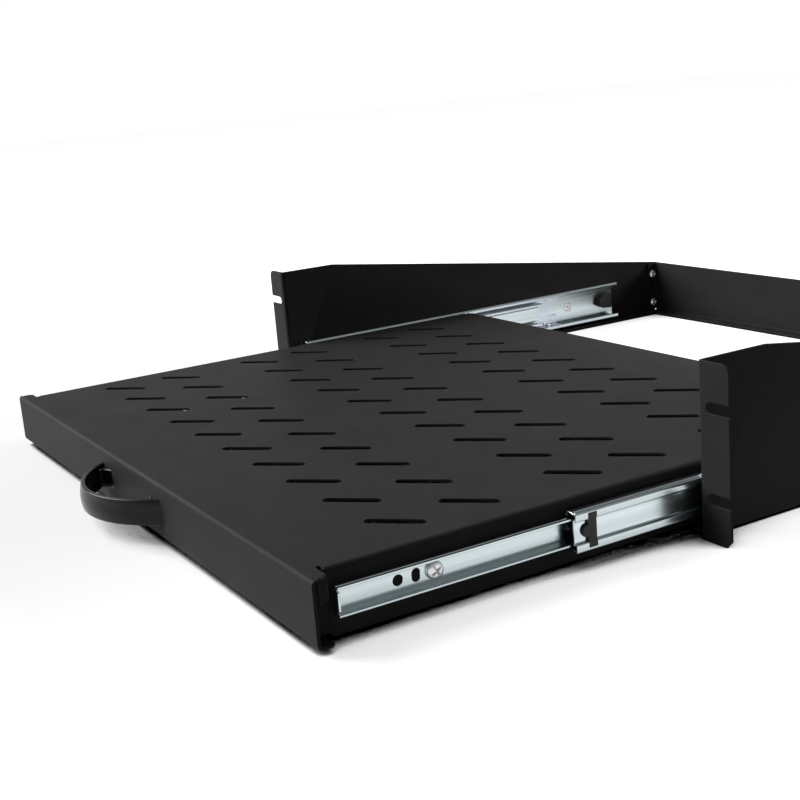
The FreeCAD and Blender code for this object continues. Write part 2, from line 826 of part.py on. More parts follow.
def make_inner_rail_screws():
    body = new_body("inner_rail_screws")
    sizes = ("head_radius", "head_height", "head_bevel")
    for sign in SIDES.values():
        way = int(sign)
        seat = across(sign, f"{SLIDE_ROOM} - rail_sheet")
        for row in range(2):
            place = (f"{INNER_START} + inner_screw_place + {row} * inner_screw_pitch", SLIDE_LEVEL)
            cross_screw(body, way, seat, "rail_sheet + sheet", *sizes, way, place)


def cage_start(which, side):
    """Front end of a cage: each one rolls half as far as the rails on both its sides together."""
    travel = f"middle_out_{side} / 2" if which == "outer" else f"(middle_out_{side} + tray_out) / 2"
    return f"(rail_start + {which}_cage_start - {travel})"


def ball_spacing(which):
    return f"({which}_cage_length - 2 * cage_margin) / (balls_per_row - 1)"


def cut_ball_pockets(body, which, side, sign, radius, level):
    """Square pockets for one ball in each row, repeated along the cage."""
    half = f"({radius} + pocket_clearance)"
    middle = f"{cage_start(which, side)} + cage_margin"
    sketch = new_sketch(body, "XY", at_slide(f"-{level} - cage_sheet - overrun"))
    folded_outline(
        sketch,
        [
            across(sign, f"{which}_ball_depth - {half}"),
            f"{middle} - {half}",
            across(sign, f"{which}_ball_depth + {half}"),
            f"{middle} + {half}",
        ],
    )
    cut = pocket(body, sketch, f"2 * ({level} + cage_sheet + overrun)")
    repeat(body, [cut], "Y", "balls_per_row", ball_spacing(which))


def make_outer_cage(side, sign):
    body = new_body(f"outer_ball_cage_{side}")
    start = cage_start("outer", side)
    upper = [
        (OUTER_CAGE_NEAR, f"{OUTER_BALL_LEVEL} + cage_sheet / 2"),
        (OUTER_CAGE_FAR, f"{OUTER_BALL_LEVEL} - cage_sheet / 2"),
    ]
    profile = rail_section(body, sign, start, upper, f"{OUTER_CAGE_NEAR} + cage_sheet", {})
    pad(body, profile, "outer_cage_length")

    # the web ends short of the two ball strips at the back
    back = f"{start} + outer_cage_length"
    far = f"{OUTER_CAGE_NEAR} + cage_sheet + cage_gap"
    notch = new_sketch(body, "YZ", low_end(sign, f"{OUTER_CAGE_NEAR} - cage_gap", far))
    folded_outline(
        notch,
        [
            f"{back} - cage_notch_depth",
            at_slide("cage_notch_half"),
            f"{back} + overrun",
            at_slide("-cage_notch_half"),
        ],
    )
    pocket(body, notch, "cage_sheet + 2 * cage_gap")
    cut_ball_pockets(body, "outer", side, sign, OUTER_BALL_RADIUS, OUTER_BALL_LEVEL)


def make_inner_cage(side, sign):
    body = new_body(f"inner_ball_cage_{side}")
    sketch = new_sketch(body, "XZ", cage_start("inner", side))
    for row in ("-1", "1"):
        folded_outline(
            sketch,
            [
                across(sign, "inner_cage_near"),
                at_slide(f"{row} * {INNER_BALL_LEVEL} - cage_sheet / 2"),
                across(sign, "inner_cage_far"),
                at_slide(f"{row} * {INNER_BALL_LEVEL} + cage_sheet / 2"),
            ],
        )
    pad(body, sketch, "inner_cage_length")
    cut_ball_pockets(body, "inner", side, sign, INNER_BALL_RADIUS, INNER_BALL_LEVEL)


def make_balls(which, side, sign, radius, level):
    """Two rows of balls with flat facets."""
    body = new_body(f"{which}_balls_{side}")
    first = f"{cage_start(which, side)} + cage_margin"
    place = (across(sign, f"{which}_ball_depth"), first, at_slide(f"-{level} - {radius}"))
    ball = prism(body, "XY", place, SMALL_FLATS, radius, f"2 * {radius}")
    crown = 1 - math.tan(math.pi / SMALL_FLATS)
    ends = bevel(body, ball, [(0, 0, -1), (0, 0, 1)], f"{crown} * {radius}")
    rows = ("Z", "2", f"2 * {level}")
    repeat(body, [ball, ends], "Y", "balls_per_row", ball_spacing(which), rows)


def make_tray():
    body = new_body("tray")
    strip_back = f"({TRAY_FRONT} + front_strip)"
    side_start = f"({strip_back} + fold_relief)"
    side_end = f"({TRAY_BACK} - {BEND_OUTSIDE} - fold_gap)"

    # deck with its two side flanges
    channel = new_sketch(body, "XZ", side_start)
    folded_outline(
        channel,
        [
            f"-{TRAY_SIDE}",
            DECK,
            TRAY_SIDE,
            TRAY_BOTTOM,
            f"{TRAY_SIDE} - sheet",
            f"{DECK} - sheet",
            f"sheet - {TRAY_SIDE}",
            TRAY_BOTTOM,
        ],
        {0: BEND_OUTSIDE, 1: BEND_OUTSIDE, 4: "bend_radius", 5: "bend_radius"},
    )
    pad(body, channel, f"{side_end} - {side_start}")

    # tongues that carry the side flanges forward, between the strip and the lip
    for start in (f"-{TRAY_SIDE}", f"{TRAY_SIDE} - sheet"):
        tongue = new_sketch(body, "YZ", start)
        folded_outline(
            tongue,
            [
                f"{TRAY_FRONT} + sheet + fold_gap",
                f"{DECK} - 2 * {BEND_OUTSIDE}",
                f"{side_start} + overrun",
                f"{TRAY_BOTTOM} + sheet + fold_gap",
            ],
        )
        pad(body, tongue, "sheet")

    # wider front flange, with the strip above it and the lip below
    front = new_sketch(body, "YZ", "-front_width / 2")
    folded_outline(
        front,
        [
            TRAY_FRONT,
            DECK,
            strip_back,
            f"{DECK} - sheet",
            f"{TRAY_FRONT} + sheet",
            f"{TRAY_BOTTOM} + sheet",
            f"{TRAY_FRONT} + front_lip",
            TRAY_BOTTOM,
        ],
        {0: BEND_OUTSIDE, 3: "bend_radius", 4: "bend_radius", 7: BEND_OUTSIDE},
    )
    pad(body, front, "front_width")

    # stretch of deck between the two relief notches
    bridge = new_sketch(body, "XZ", f"{strip_back} - overrun")
    folded_outline(bridge, [f"-{DECK_INNER}", DECK, DECK_INNER, f"{DECK} - sheet"])
    pad(body, bridge, "fold_relief + 2 * overrun")

    # tabs bent down at the strip's two ends
    for start in ("-front_width / 2", "front_width / 2 - sheet"):
        tab = new_sketch(body, "YZ", start)
        tab_front = f"{TRAY_FRONT} + {BEND_OUTSIDE}"
        folded_outline(
            tab,
            [tab_front, DECK, f"{tab_front} + end_tab_depth", f"{DECK} - end_tab_height"],
        )
        pad(body, tab, "sheet")

    # rear flange
    rear = new_sketch(body, "YZ", f"-{DECK_INNER}")
    folded_outline(
        rear,
        [
            TRAY_BACK,
            DECK,
            f"{side_end} - {BEND_OUTSIDE}",
            f"{DECK} - sheet",
            f"{TRAY_BACK} - sheet",
            TRAY_BOTTOM,
        ],
        {0: BEND_OUTSIDE, 3: "bend_radius"},
    )
    pad(body, rear, f"2 * {DECK_INNER}")

    # screw holes for the inner rails and the handle
    rail_holes = new_sketch(body, "YZ", f"-{TRAY_SIDE} - overrun")
    for row in range(2):
        place = f"{INNER_START} + inner_screw_place + {row} * inner_screw_pitch"
        screw_hole(rail_holes, place, SLIDE_LEVEL)
    pocket(body, rail_holes, "tray_width + 2 * overrun")
    handle_holes = new_sketch(body, "XZ", f"{TRAY_FRONT} - overrun")
    for sign in SIDES.values():
        screw_hole(handle_holes, f"{sign} * {BOSS_MIDDLE}", f"{HANDLE_LEVEL} + handle_height / 2")
    pocket(body, handle_holes, "sheet + 2 * overrun")

    # diagonal slots in pairs of rows, their ends cut in three flats
    first_column = "-(slot_columns - 1) * slot_pitch / 2"
    end = "slot_length / 2"
    side = "slot_width / 2"
    for row in range(2):
        place = f"{TRAY_FRONT} + first_slot_row + {row} * slot_pitch"
        slot = new_sketch(body, "XY", f"{DECK} - sheet - overrun", (first_column, place))
        bind(slot, "AttachmentOffset.Rotation.Angle", "slot_angle")
        points = []
        for u_way, v_way in ((1, 1), (-1, 1), (-1, -1), (1, -1)):
            chamfered = [
                (f"{u_way} * {end}", f"{v_way} * ({side} - slot_end_chamfer)"),
                (f"{u_way} * ({end} - slot_end_chamfer)", f"{v_way} * {side}"),
            ]
            points += chamfered if u_way == v_way else reversed(chamfered)
        pointed_outline(slot, points)
        cut = pocket(body, slot, "sheet + 2 * overrun")
        pairs = ("Y", "slot_row_pairs", "slot_pitch + slot_row_gap")
        repeat(body, [cut], "X", "slot_columns", "slot_pitch", pairs)


def make_pull_handle():
    body = new_body("pull_handle")
    top = f"({HANDLE_LEVEL} + handle_height)"
    middle = f"({HANDLE_LEVEL} + handle_height / 2)"
    edge = f"(handle_bulge - {HANDLE_RADIUS})"

    # bowed band whose outer face swells in four flat steps, swept about the bow's centre
    band = new_sketch(body, "YZ", "0", (HANDLE_CENTRE, "0"))
    pointed_outline(
        band,
        [
            (f"{edge} + handle_band", HANDLE_LEVEL),
            (edge, HANDLE_LEVEL),
            (f"{edge} - 0.75 * handle_bulge", f"{HANDLE_LEVEL} + handle_height / 4"),
            (f"{edge} - handle_bulge", middle),
            (f"{edge} - 0.75 * handle_bulge", f"{top} - handle_height / 4"),
            (edge, top),
            (f"{edge} + handle_band", top),
        ],
    )
    revolve(body, band, "V_Axis", "180")

    # the band ends on the front flange
    behind = new_sketch(body, "XZ", TRAY_FRONT)
    reach = f"({HANDLE_RADIUS} + overrun)"
    folded_outline(behind, [f"-{reach}", f"{top} + overrun", reach, f"{HANDLE_LEVEL} - overrun"])
    pocket(body, behind, reach)

    # a foot at each end, with a blind hole for its screw
    feet = new_sketch(body, "XZ", f"{TRAY_FRONT} - boss_depth")
    holes = new_sketch(body, "XZ", f"{TRAY_FRONT} - handle_screw_bite")
    for sign in SIDES.values():
        folded_outline(
            feet,
            [
                f"{sign} * boss_inner",
                f"{top} - boss_margin",
                f"{sign} * boss_outer",
                f"{HANDLE_LEVEL} + boss_margin",
            ],
        )
        screw_hole(holes, f"{sign} * {BOSS_MIDDLE}", middle)
    pad(body, feet, "boss_depth")
    pocket(body, holes, "handle_screw_bite")


def make_handle_screws():
    body = new_body("handle_screws")
    seat = f"({TRAY_FRONT} + sheet)"
    for sign in SIDES.values():
        place = (f"{sign} * {BOSS_MIDDLE}", f"{HANDLE_LEVEL} + handle_height / 2")
        head = prism(body, "XZ", (*place, f"-({seat} + head_height)"), HEAD_FLATS, "head_radius", "head_height")
        bevel(body, head, [(0, 1, 0)], "head_bevel")
        prism(body, "XZ", (*place, f"-{seat}"), SMALL_FLATS, "screw_radius", "sheet + handle_screw_bite")


def check_and_write():
    doc.recompute()
    for item in doc.Objects:
        if "Invalid" in item.State or "Error" in item.State:
            raise RuntimeError(f"{item.Label} failed: {item.State}")
    os.makedirs("parts", exist_ok=True)
    for label, item in nodes.items():
        shape = item.Shape
        if shape.isNull() or not shape.isValid() or not shape.Solids:
            raise RuntimeError(f"{label} has no valid solid")
        shape.exportStep(f"parts/{label}.step")
        print(label, len(shape.Solids), round(shape.Volume, 1))


fill_sheet()
for side, sign in SIDES.items():
    make_side_bracket(side, sign)
    make_outer_rail(side, sign)
    make_rail_bumper(side, sign)
    make_outer_cage(side, sign)
    make_balls("outer", side, sign, OUTER_BALL_RADIUS, OUTER_BALL_LEVEL)
    make_middle_rail(side, sign)
    make_rail_stop(side, sign)
    make_inner_cage(side, sign)
    make_balls("inner", side, sign, INNER_BALL_RADIUS, INNER_BALL_LEVEL)
    make_inner_rail(side, sign)
make_rear_crossbar()
make_crossbar_screws()
make_outer_rail_screws()
make_inner_rail_screws()
make_tray()
make_pull_handle()
make_handle_screws()
check_and_write()
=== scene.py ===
"""Dresses the sliding rack shelf: folded sheets, slides, handle, screws, light and camera."""

import math

import bmesh
import bpy
import numpy as np
from mathutils import Matrix, Vector
from mathutils.geometry import delaunay_2d_cdt


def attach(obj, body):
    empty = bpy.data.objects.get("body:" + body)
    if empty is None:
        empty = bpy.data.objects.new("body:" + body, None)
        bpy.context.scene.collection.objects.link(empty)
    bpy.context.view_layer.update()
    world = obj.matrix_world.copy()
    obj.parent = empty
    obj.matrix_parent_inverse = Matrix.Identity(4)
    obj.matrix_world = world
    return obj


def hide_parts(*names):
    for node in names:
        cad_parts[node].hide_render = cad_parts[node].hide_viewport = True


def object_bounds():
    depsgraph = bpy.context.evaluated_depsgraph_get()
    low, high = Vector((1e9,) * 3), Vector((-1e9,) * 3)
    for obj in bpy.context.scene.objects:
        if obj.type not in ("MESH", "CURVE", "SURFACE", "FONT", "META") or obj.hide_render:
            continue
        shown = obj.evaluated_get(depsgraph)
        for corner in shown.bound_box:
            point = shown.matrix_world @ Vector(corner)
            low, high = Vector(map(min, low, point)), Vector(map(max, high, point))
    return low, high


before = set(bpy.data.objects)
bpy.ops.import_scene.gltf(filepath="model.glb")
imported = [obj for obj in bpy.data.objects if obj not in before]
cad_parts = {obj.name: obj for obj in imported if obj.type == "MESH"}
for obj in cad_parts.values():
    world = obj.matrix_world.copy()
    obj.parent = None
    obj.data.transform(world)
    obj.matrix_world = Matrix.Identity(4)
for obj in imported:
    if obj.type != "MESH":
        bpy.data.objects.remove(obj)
cad_box = [list(corner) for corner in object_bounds()]

MM = 0.001
QUARTER = math.pi / 2
SIDES = {"left": -1, "right": 1}

# sheet metal, in millimetres in the part's frame
SHEET = 1.5
BEND_INSIDE = 0.8
BEND_OUTSIDE = BEND_INSIDE + SHEET
WIDE_ARC = BEND_OUTSIDE * QUARTER
TIGHT_ARC = BEND_INSIDE * QUARTER
RIM = 0.25
BEND_STEPS = 5
BEND_GUARD = 0.6
CORNER_CLIP = 1.2
FLANGE_CLIP = 1.5

# tolerances for cutting a sheet along its fold lines
NO_RUN = 1e-6
NO_SHARE = 1e-5
LINE_SLACK = 0.01
LINE_REACH = 1
ON_LINE = 1e-3
SAME_POINT = 1e-6

# frame
PLATE_FACE = 221.0
PLATE_DEPTH = 360.8
PLATE_BOTTOM = -43.2
REAR_TOP = 0.35
SHOULDER_DEPTH = 41.5
EAR_TOP = 44.05
EAR_EDGE = 241.3
EAR_CORNER = 4.5
EAR_CHAMFER = 3.5
EAR_SLOT_LEVEL = 22.225
EAR_SLOT_HALF = 2.75
EAR_SLOT_DEPTH = 15.0
EAR_FOOT_GAP = 0.1
FLANGE_WIDTH = 9.8
FLANGE_START = 3.2
FLANGE_END = 358.6
FLANGE_RELIEF = 0.8
FLANGE_FRONT_CLIP = 0.4
CROSSBAR_TAB = 9.8
CROSSBAR_FLANGE = 10.7
CROSSBAR_FLANGE_HALF = 210.6
CROSSBAR_RELIEF = 0.4
WEB_LIFT = 0.3
WEB_BEND_SHARE = 0.75

# tray
DECK = -10.05
TRAY_BOTTOM = -40.7
TRAY_FRONT = -206.5
TRAY_BACK = 155.8
TRAY_SIDE = 209.5
FRONT_HALF = 219.0
STRIP_BACK = -197.8
SIDE_START = -195.5
SIDE_END = 152.9
DECK_INNER = 204.9
FRONT_LIP = 8.6
TAB_DEPTH = 4.5
TAB_HEIGHT = 11.3
TAB_CUT = (0.1, 0.3)
TAB_ROOT = 0.9
TAB_NOSE = 0.8
TAB_SLOPE = 1.8
STRIP_CLIP = 0.8
TONGUE_GAP = 0.6
TONGUE_SEAM = 0.02
TONGUE_BEND_SHARE = 0.4
TONGUE_RIM = 0.1
SCREW_HOLE = 2.1
SLOT_LENGTH = 29.5
SLOT_WIDTH = 5.8
SLOT_ROWS = (-144.5, -104.5, -44.5, -4.5, 55.5, 95.5)
SLOT_COLUMNS = [-180 + 40 * i for i in range(10)]

# slides: depths are counted from the plate's inner face, heights from the slide's middle
SLIDE_LEVEL = -24.05
RAIL_RIM = 0.15
RAIL_STEPS = 4
RAIL_GUARD = 0.15
STRIP_REACH = 5

# upper halves of the cross-sections: depth, height and bend radius of each corner
OUTER_SECTION = [(9.0, 12.0, 0), (9.0, 14.4, 1.0), (0.6, 14.4, 1.0)]
MIDDLE_LIP = [(9.7, 7.25, 0), (9.7, 9.05, 0.5)]
MIDDLE_GROOVE = [(6.0, 9.05, 0.4), (5.35, 8.68, 0.4), (4.15, 8.68, 0.4), (3.5, 9.05, 0.4)]
MIDDLE_STEP = [(2.8, 9.05, 0.5), (2.8, 5.7, 0.5), (4.6, 5.7, 0.5)]
INNER_GROOVE = [(6.5, 6.15, 0.4), (7.0, 5.85, 0.4), (7.6, 5.85, 0.4), (8.1, 6.15, 0.4)]
INNER_WEB = 11.0
INNER_SECTION = [(5.5, 6.15, 0), *INNER_GROOVE, (INNER_WEB, 6.15, 0.5)]
CAGE_SECTION = [(7.9, 11.675, 0), (1.75, 11.675, 0.35)]

# outer rail and its bumper
OUTER_ENDS = (8.5, 308.5)
OUTER_HALF_SHEET = 0.6
OUTER_SCREWS = (40.0, 260.5)
OUTER_SCREW_HOLE = 3.6
OUTER_NOTCH_HALF = 5
OUTER_NOTCH_FLOOR = 296.0
BUMPER_ENDS = (291.3, 304.8)
BUMPER_NOSE_RADIUS = 1.6
BUMPER_NOSE_LEVEL = 2.2
BUMPER_SHOULDER = (5.5, 6.1)
BUMPER_HALF = 6.5
BUMPER_CLIP = 0.8
BUMPER_DEPTHS = (1.2, 6.2)
BUMPER_RIM = 0.7
BUMPER_FOOT = (296.2, 4.8)
BUMPER_FOOT_DEPTHS = (0.05, 1.2)
BUMPER_FOOT_RIM = 0.2

# middle rail and its stop, whose profile is nose radius, top, bottom and length
MIDDLE_ENDS = {"right": (-73.5, 204.5), "left": (-50.5, 227.5)}
MIDDLE_HALF_SHEET = 0.5
MIDDLE_CLIP = 0.4
STEP_DEPTH = 1.8
STEP_RADIUS = 0.5
STEP_LEVEL = 5.0
STOP_PLACE = 7.0
STOP_HOLE = (3.2, 8.4, 8.0, 5.0)
STOP_CLIP = (3.05, 8.3, 7.9, 4.8)
STOP_GAP = 0.1
STOP_DEPTHS = (2.5, 5.0)

# inner rail: its web's front end is folded outwards as a tab
INNER_ENDS = (-193.5, 86.5)
INNER_HALF_SHEET = 0.5
INNER_SCREWS = (-144.5, 30.5)
INNER_SEAT = 210.5
INNER_WEB_HALF = 5.2
INNER_HOLE = 31.0
INNER_HOLE_RADIUS = 2.5
INNER_SLOT = 40.0
INNER_SLOT_REACH = 1.0
END_TAB_RADIUS = 1.0
END_TAB_DEPTH = 5.8
END_TAB_GUARD = 0.2
END_TAB_CUT = (0.5, 0.3)

# ball cages, and the balls' depth, height and radius
OUTER_CAGE_ENDS = {"right": (67.5, 236.5), "left": (79.0, 248.0)}
INNER_CAGE_ENDS = {"right": (-34.5, 45.5), "left": (-23.0, 57.0)}
CAGE_MARGIN = 12.0
CAGE_HALF_SHEET = 0.25
CAGE_RIM = 0.08
CAGE_NOTCH_HALF = 4
CAGE_NOTCH_DEPTH = 8
CAGE_HOLE = 2.3
BALL_ROWS = 3
BALL_TURN = 0.7
BALL_RINGS = 12
BALL_STEPS = 20
OUTER_BALLS = (4.75, 11.675, 2.1)
INNER_BALLS = (7.2, 7.6, 0.93)
CAGE_HOLE_ACROSS = CAGE_SECTION[0][0] - OUTER_BALLS[0]

# screws: head as radius, height and shank, then the cross recess as depth, reach and half width
WIDE_HEAD, WIDE_RECESS = (4.2, 2.6, 1.9), (1.8, 2.7, 0.6)
SMALL_HEAD, SMALL_RECESS = (3.4, 2.6, 0.0), (1.4, 1.9, 0.42)
FLUSH_HEAD, FLUSH_RECESS = (3.45, 1.15), (0.85, 2.0, 0.45)
SHANK_TIP = 1.6
SHANK_RADIUS = 1.9
SHANK_CHAMFER = 0.3
SEAT_SHARE = 0.02
FLUSH_SEAT = 0.05
FLUSH_TAPER = 1.0
FLUSH_EDGE = 0.2
FLUSH_BEVEL = 0.15
RECESS_CLEAR = 1.0
RECESS_WAIST = 0.25
RECESS_TIP = 0.45
SCREW_STEPS = 32
FIRST_TURN = 0.35
CORNER_SCREW_DEPTH = 354.8
CORNER_SCREW_LEVELS = (-34.35, -9.25)

# handle: its outside falls back above and below the widest level, as amount and power
HANDLE_CENTRE = -175.233
HANDLE_RADIUS = 56.867
HANDLE_INNER = 53.167
HANDLE_LOW = -32.15
HANDLE_HIGH = -18.55
HANDLE_SCREW = 35.5
HANDLE_SCREW_LEVEL = -26.55
HANDLE_ROUND = 0.7
HANDLE_WIDEST = 0.45
HANDLE_FALL_ABOVE = (1.1, 1.8)
HANDLE_FALL_BELOW = (0.7, 2.2)
HANDLE_ROWS = 16
HANDLE_STEPS = 56
FOOT_STEPS = 8
FOOT_START = 30.2
FOOT_RUN = 7.6
FOOT_REACH = 5.0
FOOT_POWER = 2.2
FOOT_OUTSIDE = (40.5, 44.5)
FOOT_INSETS = (1.1, 1.6)
FOOT_RIM = 0.35

# finishes
NOISE_MIDDLE = (0.3, 0.7)
BLOTCH_DETAIL = 4.0
HAZE_DETAIL = 3.0
HAZE_SHARE = 0.6
GRAIN_DETAIL = 2.0

# what the floor and the world show, and how little of it falls on the object as light
FLOOR_SIZE = 6.0
FLOOR_SHADES = (0.12, 0.5)
FLOOR_GLOW = (0.36, 0.92)
GLOW_CENTRE = (-0.3, -0.4, cad_box[0][2])
GLOW_REACH = (0.25, 0.8)
# painted contact shadow on the floor from ambient occlusion: its reach, and the occlusion range
# over which it fades in
CONTACT_SHADE_REACH = 0.09
CONTACT_SHADE_RANGE = (0.3, 0.52)
WORLD_FILL = 0.3
WORLD_FADE = (6, 20)
WORLD_SHARE = 0.3

# lamps: place, target, size and power
LAMPS = {
    "softbox": ((-1.8, -1.8, 1.68), (0, 0, -0.03), (2.2, 2.2), 166),
    "rear_fill": ((0.12, 1.3, 0.45), (-0.1, 0.1, 0), (0.3, 0.3), 9),
}

# camera, fitted to the photograph: focal length in its pixels, place in metres
SENSOR = 36.0
FOCAL_PIXELS = 1320.88
PHOTO_PIXELS = 800
CLIP_START = 0.01
CAMERA_PLACE = (0.668735, -0.414220, 0.186511)
CAMERA_AHEAD = (-0.84319823, 0.47839988, -0.24525559)
CAMERA_RIGHT = (0.50937, 0.85686, -0.07980)


# materials


def noise(tree, scale, detail, stretch):
    """Noise over the object's own coordinates: scale in features per metre, stretch per axis."""
    place = tree.nodes.new("ShaderNodeTexCoord")
    mapping = tree.nodes.new("ShaderNodeMapping")
    texture = tree.nodes.new("ShaderNodeTexNoise")
    mapping.inputs["Scale"].default_value = stretch
    texture.inputs["Scale"].default_value = scale
    texture.inputs["Detail"].default_value = detail
    tree.links.new(place.outputs["Object"], mapping.inputs["Vector"])
    tree.links.new(mapping.outputs["Vector"], texture.inputs["Vector"])
    return texture.outputs["Fac"]


def ramp_between(tree, factor, start, end, low, high, kind="SMOOTHSTEP"):
    """Change from low to high while a factor goes from start to end."""
    node = tree.nodes.new("ShaderNodeMapRange")
    node.interpolation_type = kind
    limits = {"From Min": start, "From Max": end, "To Min": low, "To Max": high}
    for socket, limit in limits.items():
        node.inputs[socket].default_value = limit
    tree.links.new(factor, node.inputs["Value"])
    return node.outputs["Result"]


def tint(tree, factor, dark, light):
    """Colour between dark and light by a noise."""
    ramp = tree.nodes.new("ShaderNodeValToRGB")
    for element, position, colour in zip(ramp.color_ramp.elements, NOISE_MIDDLE, (dark, light)):
        element.position = position
        element.color = (*colour, 1)
    tree.links.new(factor, ramp.inputs["Fac"])
    return ramp.outputs["Color"]


def bump(tree, shader, height, strength, distance):
    """Adds a bump to the shader."""
    node = tree.nodes.new("ShaderNodeBump")
    node.inputs["Strength"].default_value = strength
    node.inputs["Distance"].default_value = distance
    tree.links.new(height, node.inputs["Height"])
    tree.links.new(node.outputs["Normal"], shader.inputs["Normal"])


def finish_material(name, dark, light, rough, blotch_scale, grain, constants, stretch=(1, 1, 1)):
    """A finish of uneven colour and roughness with a fine grain: scale, strength, distance."""
    material = bpy.data.materials.new(name)
    material.use_nodes = True
    tree = material.node_tree
    shader = tree.nodes["Principled BSDF"]
    for socket, constant in constants.items():
        shader.inputs[socket].default_value = constant
    blotch = noise(tree, blotch_scale, BLOTCH_DETAIL, stretch)
    tree.links.new(tint(tree, blotch, dark, light), shader.inputs["Base Color"])
    haze = noise(tree, HAZE_SHARE * blotch_scale, HAZE_DETAIL, stretch)
    roughness = ramp_between(tree, haze, *NOISE_MIDDLE, *rough, "LINEAR")
    tree.links.new(roughness, shader.inputs["Roughness"])
    scale, strength, distance = grain
    bump(tree, shader, noise(tree, scale, GRAIN_DETAIL, stretch), strength, distance)
    return material


def make_finishes():
    """Every slot's finish: dark, light, roughness, blotch scale, grain, constants, stretch."""
    metal = {"Metallic": 1.0}
    plated = {"Metallic": 0.72}
    drawn = (1, 0.02, 1)
    coat = {"Specular IOR Level": 0.05}
    gloss = {"Specular IOR Level": 0.22}
    dull = {"Specular IOR Level": 0.3}
    looks = {
        "powder_coat": (0.0214, 0.0250, (0.53, 0.58), 55, (1500, 0.16, 0.0002), coat),
        "handle_plastic": (0.0045, 0.0065, (0.16, 0.24), 120, (1100, 0.05, 0.0002), gloss),
        "bumper_rubber": (0.0160, 0.0240, (0.62, 0.78), 180, (2200, 0.2, 0.0002), dull),
        "stop_plastic": (0.0120, 0.0180, (0.40, 0.52), 200, (1600, 0.12, 0.0002), dull),
        "zinc_rail": (0.50, 0.62, (0.17, 0.26), 260, (900, 0.06, 0.0002), metal, drawn),
        "cage_steel": (0.58, 0.70, (0.26, 0.40), 220, (700, 0.1, 0.0002), metal, drawn),
        "ball_steel": (0.70, 0.80, (0.08, 0.16), 400, (3000, 0.05, 0.0001), metal),
        "screw_zinc": (0.74, 0.86, (0.24, 0.34), 500, (1800, 0.08, 0.0002), plated),
    }
    hues = {
        "powder_coat": (1.02, 0.98, 0.95),
        "zinc_rail": (0.91, 1.03, 1.06),
        "cage_steel": (0.92, 1.0, 1.12),
    }
    made = {}
    for name, (dark, light, *rest) in looks.items():
        hue = hues.get(name, (1, 1, 1))
        shades = [[level * share for share in hue] for level in (dark, light)]
        made[name] = finish_material(name, *shades, *rest)
    return made


# mesh helpers


def arc(centre, radius, start, end, steps):
    """Points on an arc, angles in degrees."""
    points = []
    for i in range(steps + 1):
        angle = math.radians(start + (end - start) * i / steps)
        points.append((centre[0] + radius * math.cos(angle), centre[1] + radius * math.sin(angle)))
    return points


def circle(centre, radius, steps):
    return arc(centre, radius, 0, 360, steps)[:-1]


def oriented(loop, forwards):
    """The loop anticlockwise if forwards, else clockwise."""
    area = 0
    for i in range(len(loop)):
        area += loop[i - 1][0] * loop[i][1] - loop[i][0] * loop[i - 1][1]
    return list(loop) if (area > 0) == forwards else list(reversed(loop))


def offset_loop(loop, distance):
    """Moves a closed loop to its left."""
    moved = []
    for i, point in enumerate(loop):
        here = Vector(point)
        before = here - Vector(loop[i - 1])
        after = Vector(loop[(i + 1) % len(loop)]) - here
        first = Vector((-before.y, before.x)).normalized()
        second = Vector((-after.y, after.x)).normalized()
        moved.append(here + distance * (first + second) / (1 + first.dot(second)))
    return moved


def split_loop(loop, lines):
    """Adds a point wherever an edge of the loop crosses a fold line."""
    result = []
    for i, start in enumerate(loop):
        end = loop[(i + 1) % len(loop)]
        shares = []
        for axis, value, low, high in lines:
            run = end[axis] - start[axis]
            if abs(run) < NO_RUN:
                continue
            share = (value - start[axis]) / run
            cross = start[1 - axis] + share * (end[1 - axis] - start[1 - axis])
            on_line = low - LINE_SLACK <= cross <= high + LINE_SLACK
            if on_line and NO_SHARE < share < 1 - NO_SHARE:
                shares.append(share)
        result.append(tuple(start))
        for share in sorted(shares):
            result.append(tuple(a + share * (b - a) for a, b in zip(start, end)))
    return result


def inside(points, loops):
    """For each point, whether it lies within the first loop and outside the rest."""
    points = np.array(points, float).reshape(-1, 2)
    odd = np.zeros(len(points), bool)
    for loop in loops:
        for i in range(len(loop)):
            (x0, y0), (x1, y1) = loop[i - 1], loop[i]
            if y0 == y1:
                continue
            between = (points[:, 1] < y0) != (points[:, 1] < y1)
            odd ^= between & (points[:, 0] < x0 + (points[:, 1] - y0) * (x1 - x0) / (y1 - y0))
    return odd


def fold_edges(points, lines, loops):
    """Pairs of rim points that a fold line joins across the sheet."""
    pairs = []
    for axis, value, low, high in lines:
        on_line = []
        for i, point in enumerate(points):
            within = low - LINE_REACH <= point[1 - axis] <= high + LINE_REACH
            if within and abs(point[axis] - value) < ON_LINE:
                on_line.append(i)
        on_line.sort(key=lambda i: points[i][1 - axis])
        pairs += zip(on_line, on_line[1:])
    middles = [[(a + b) / 2 for a, b in zip(points[i], points[j])] for i, j in pairs]
    return [pair for pair, keep in zip(pairs, inside(middles, loops)) if keep]


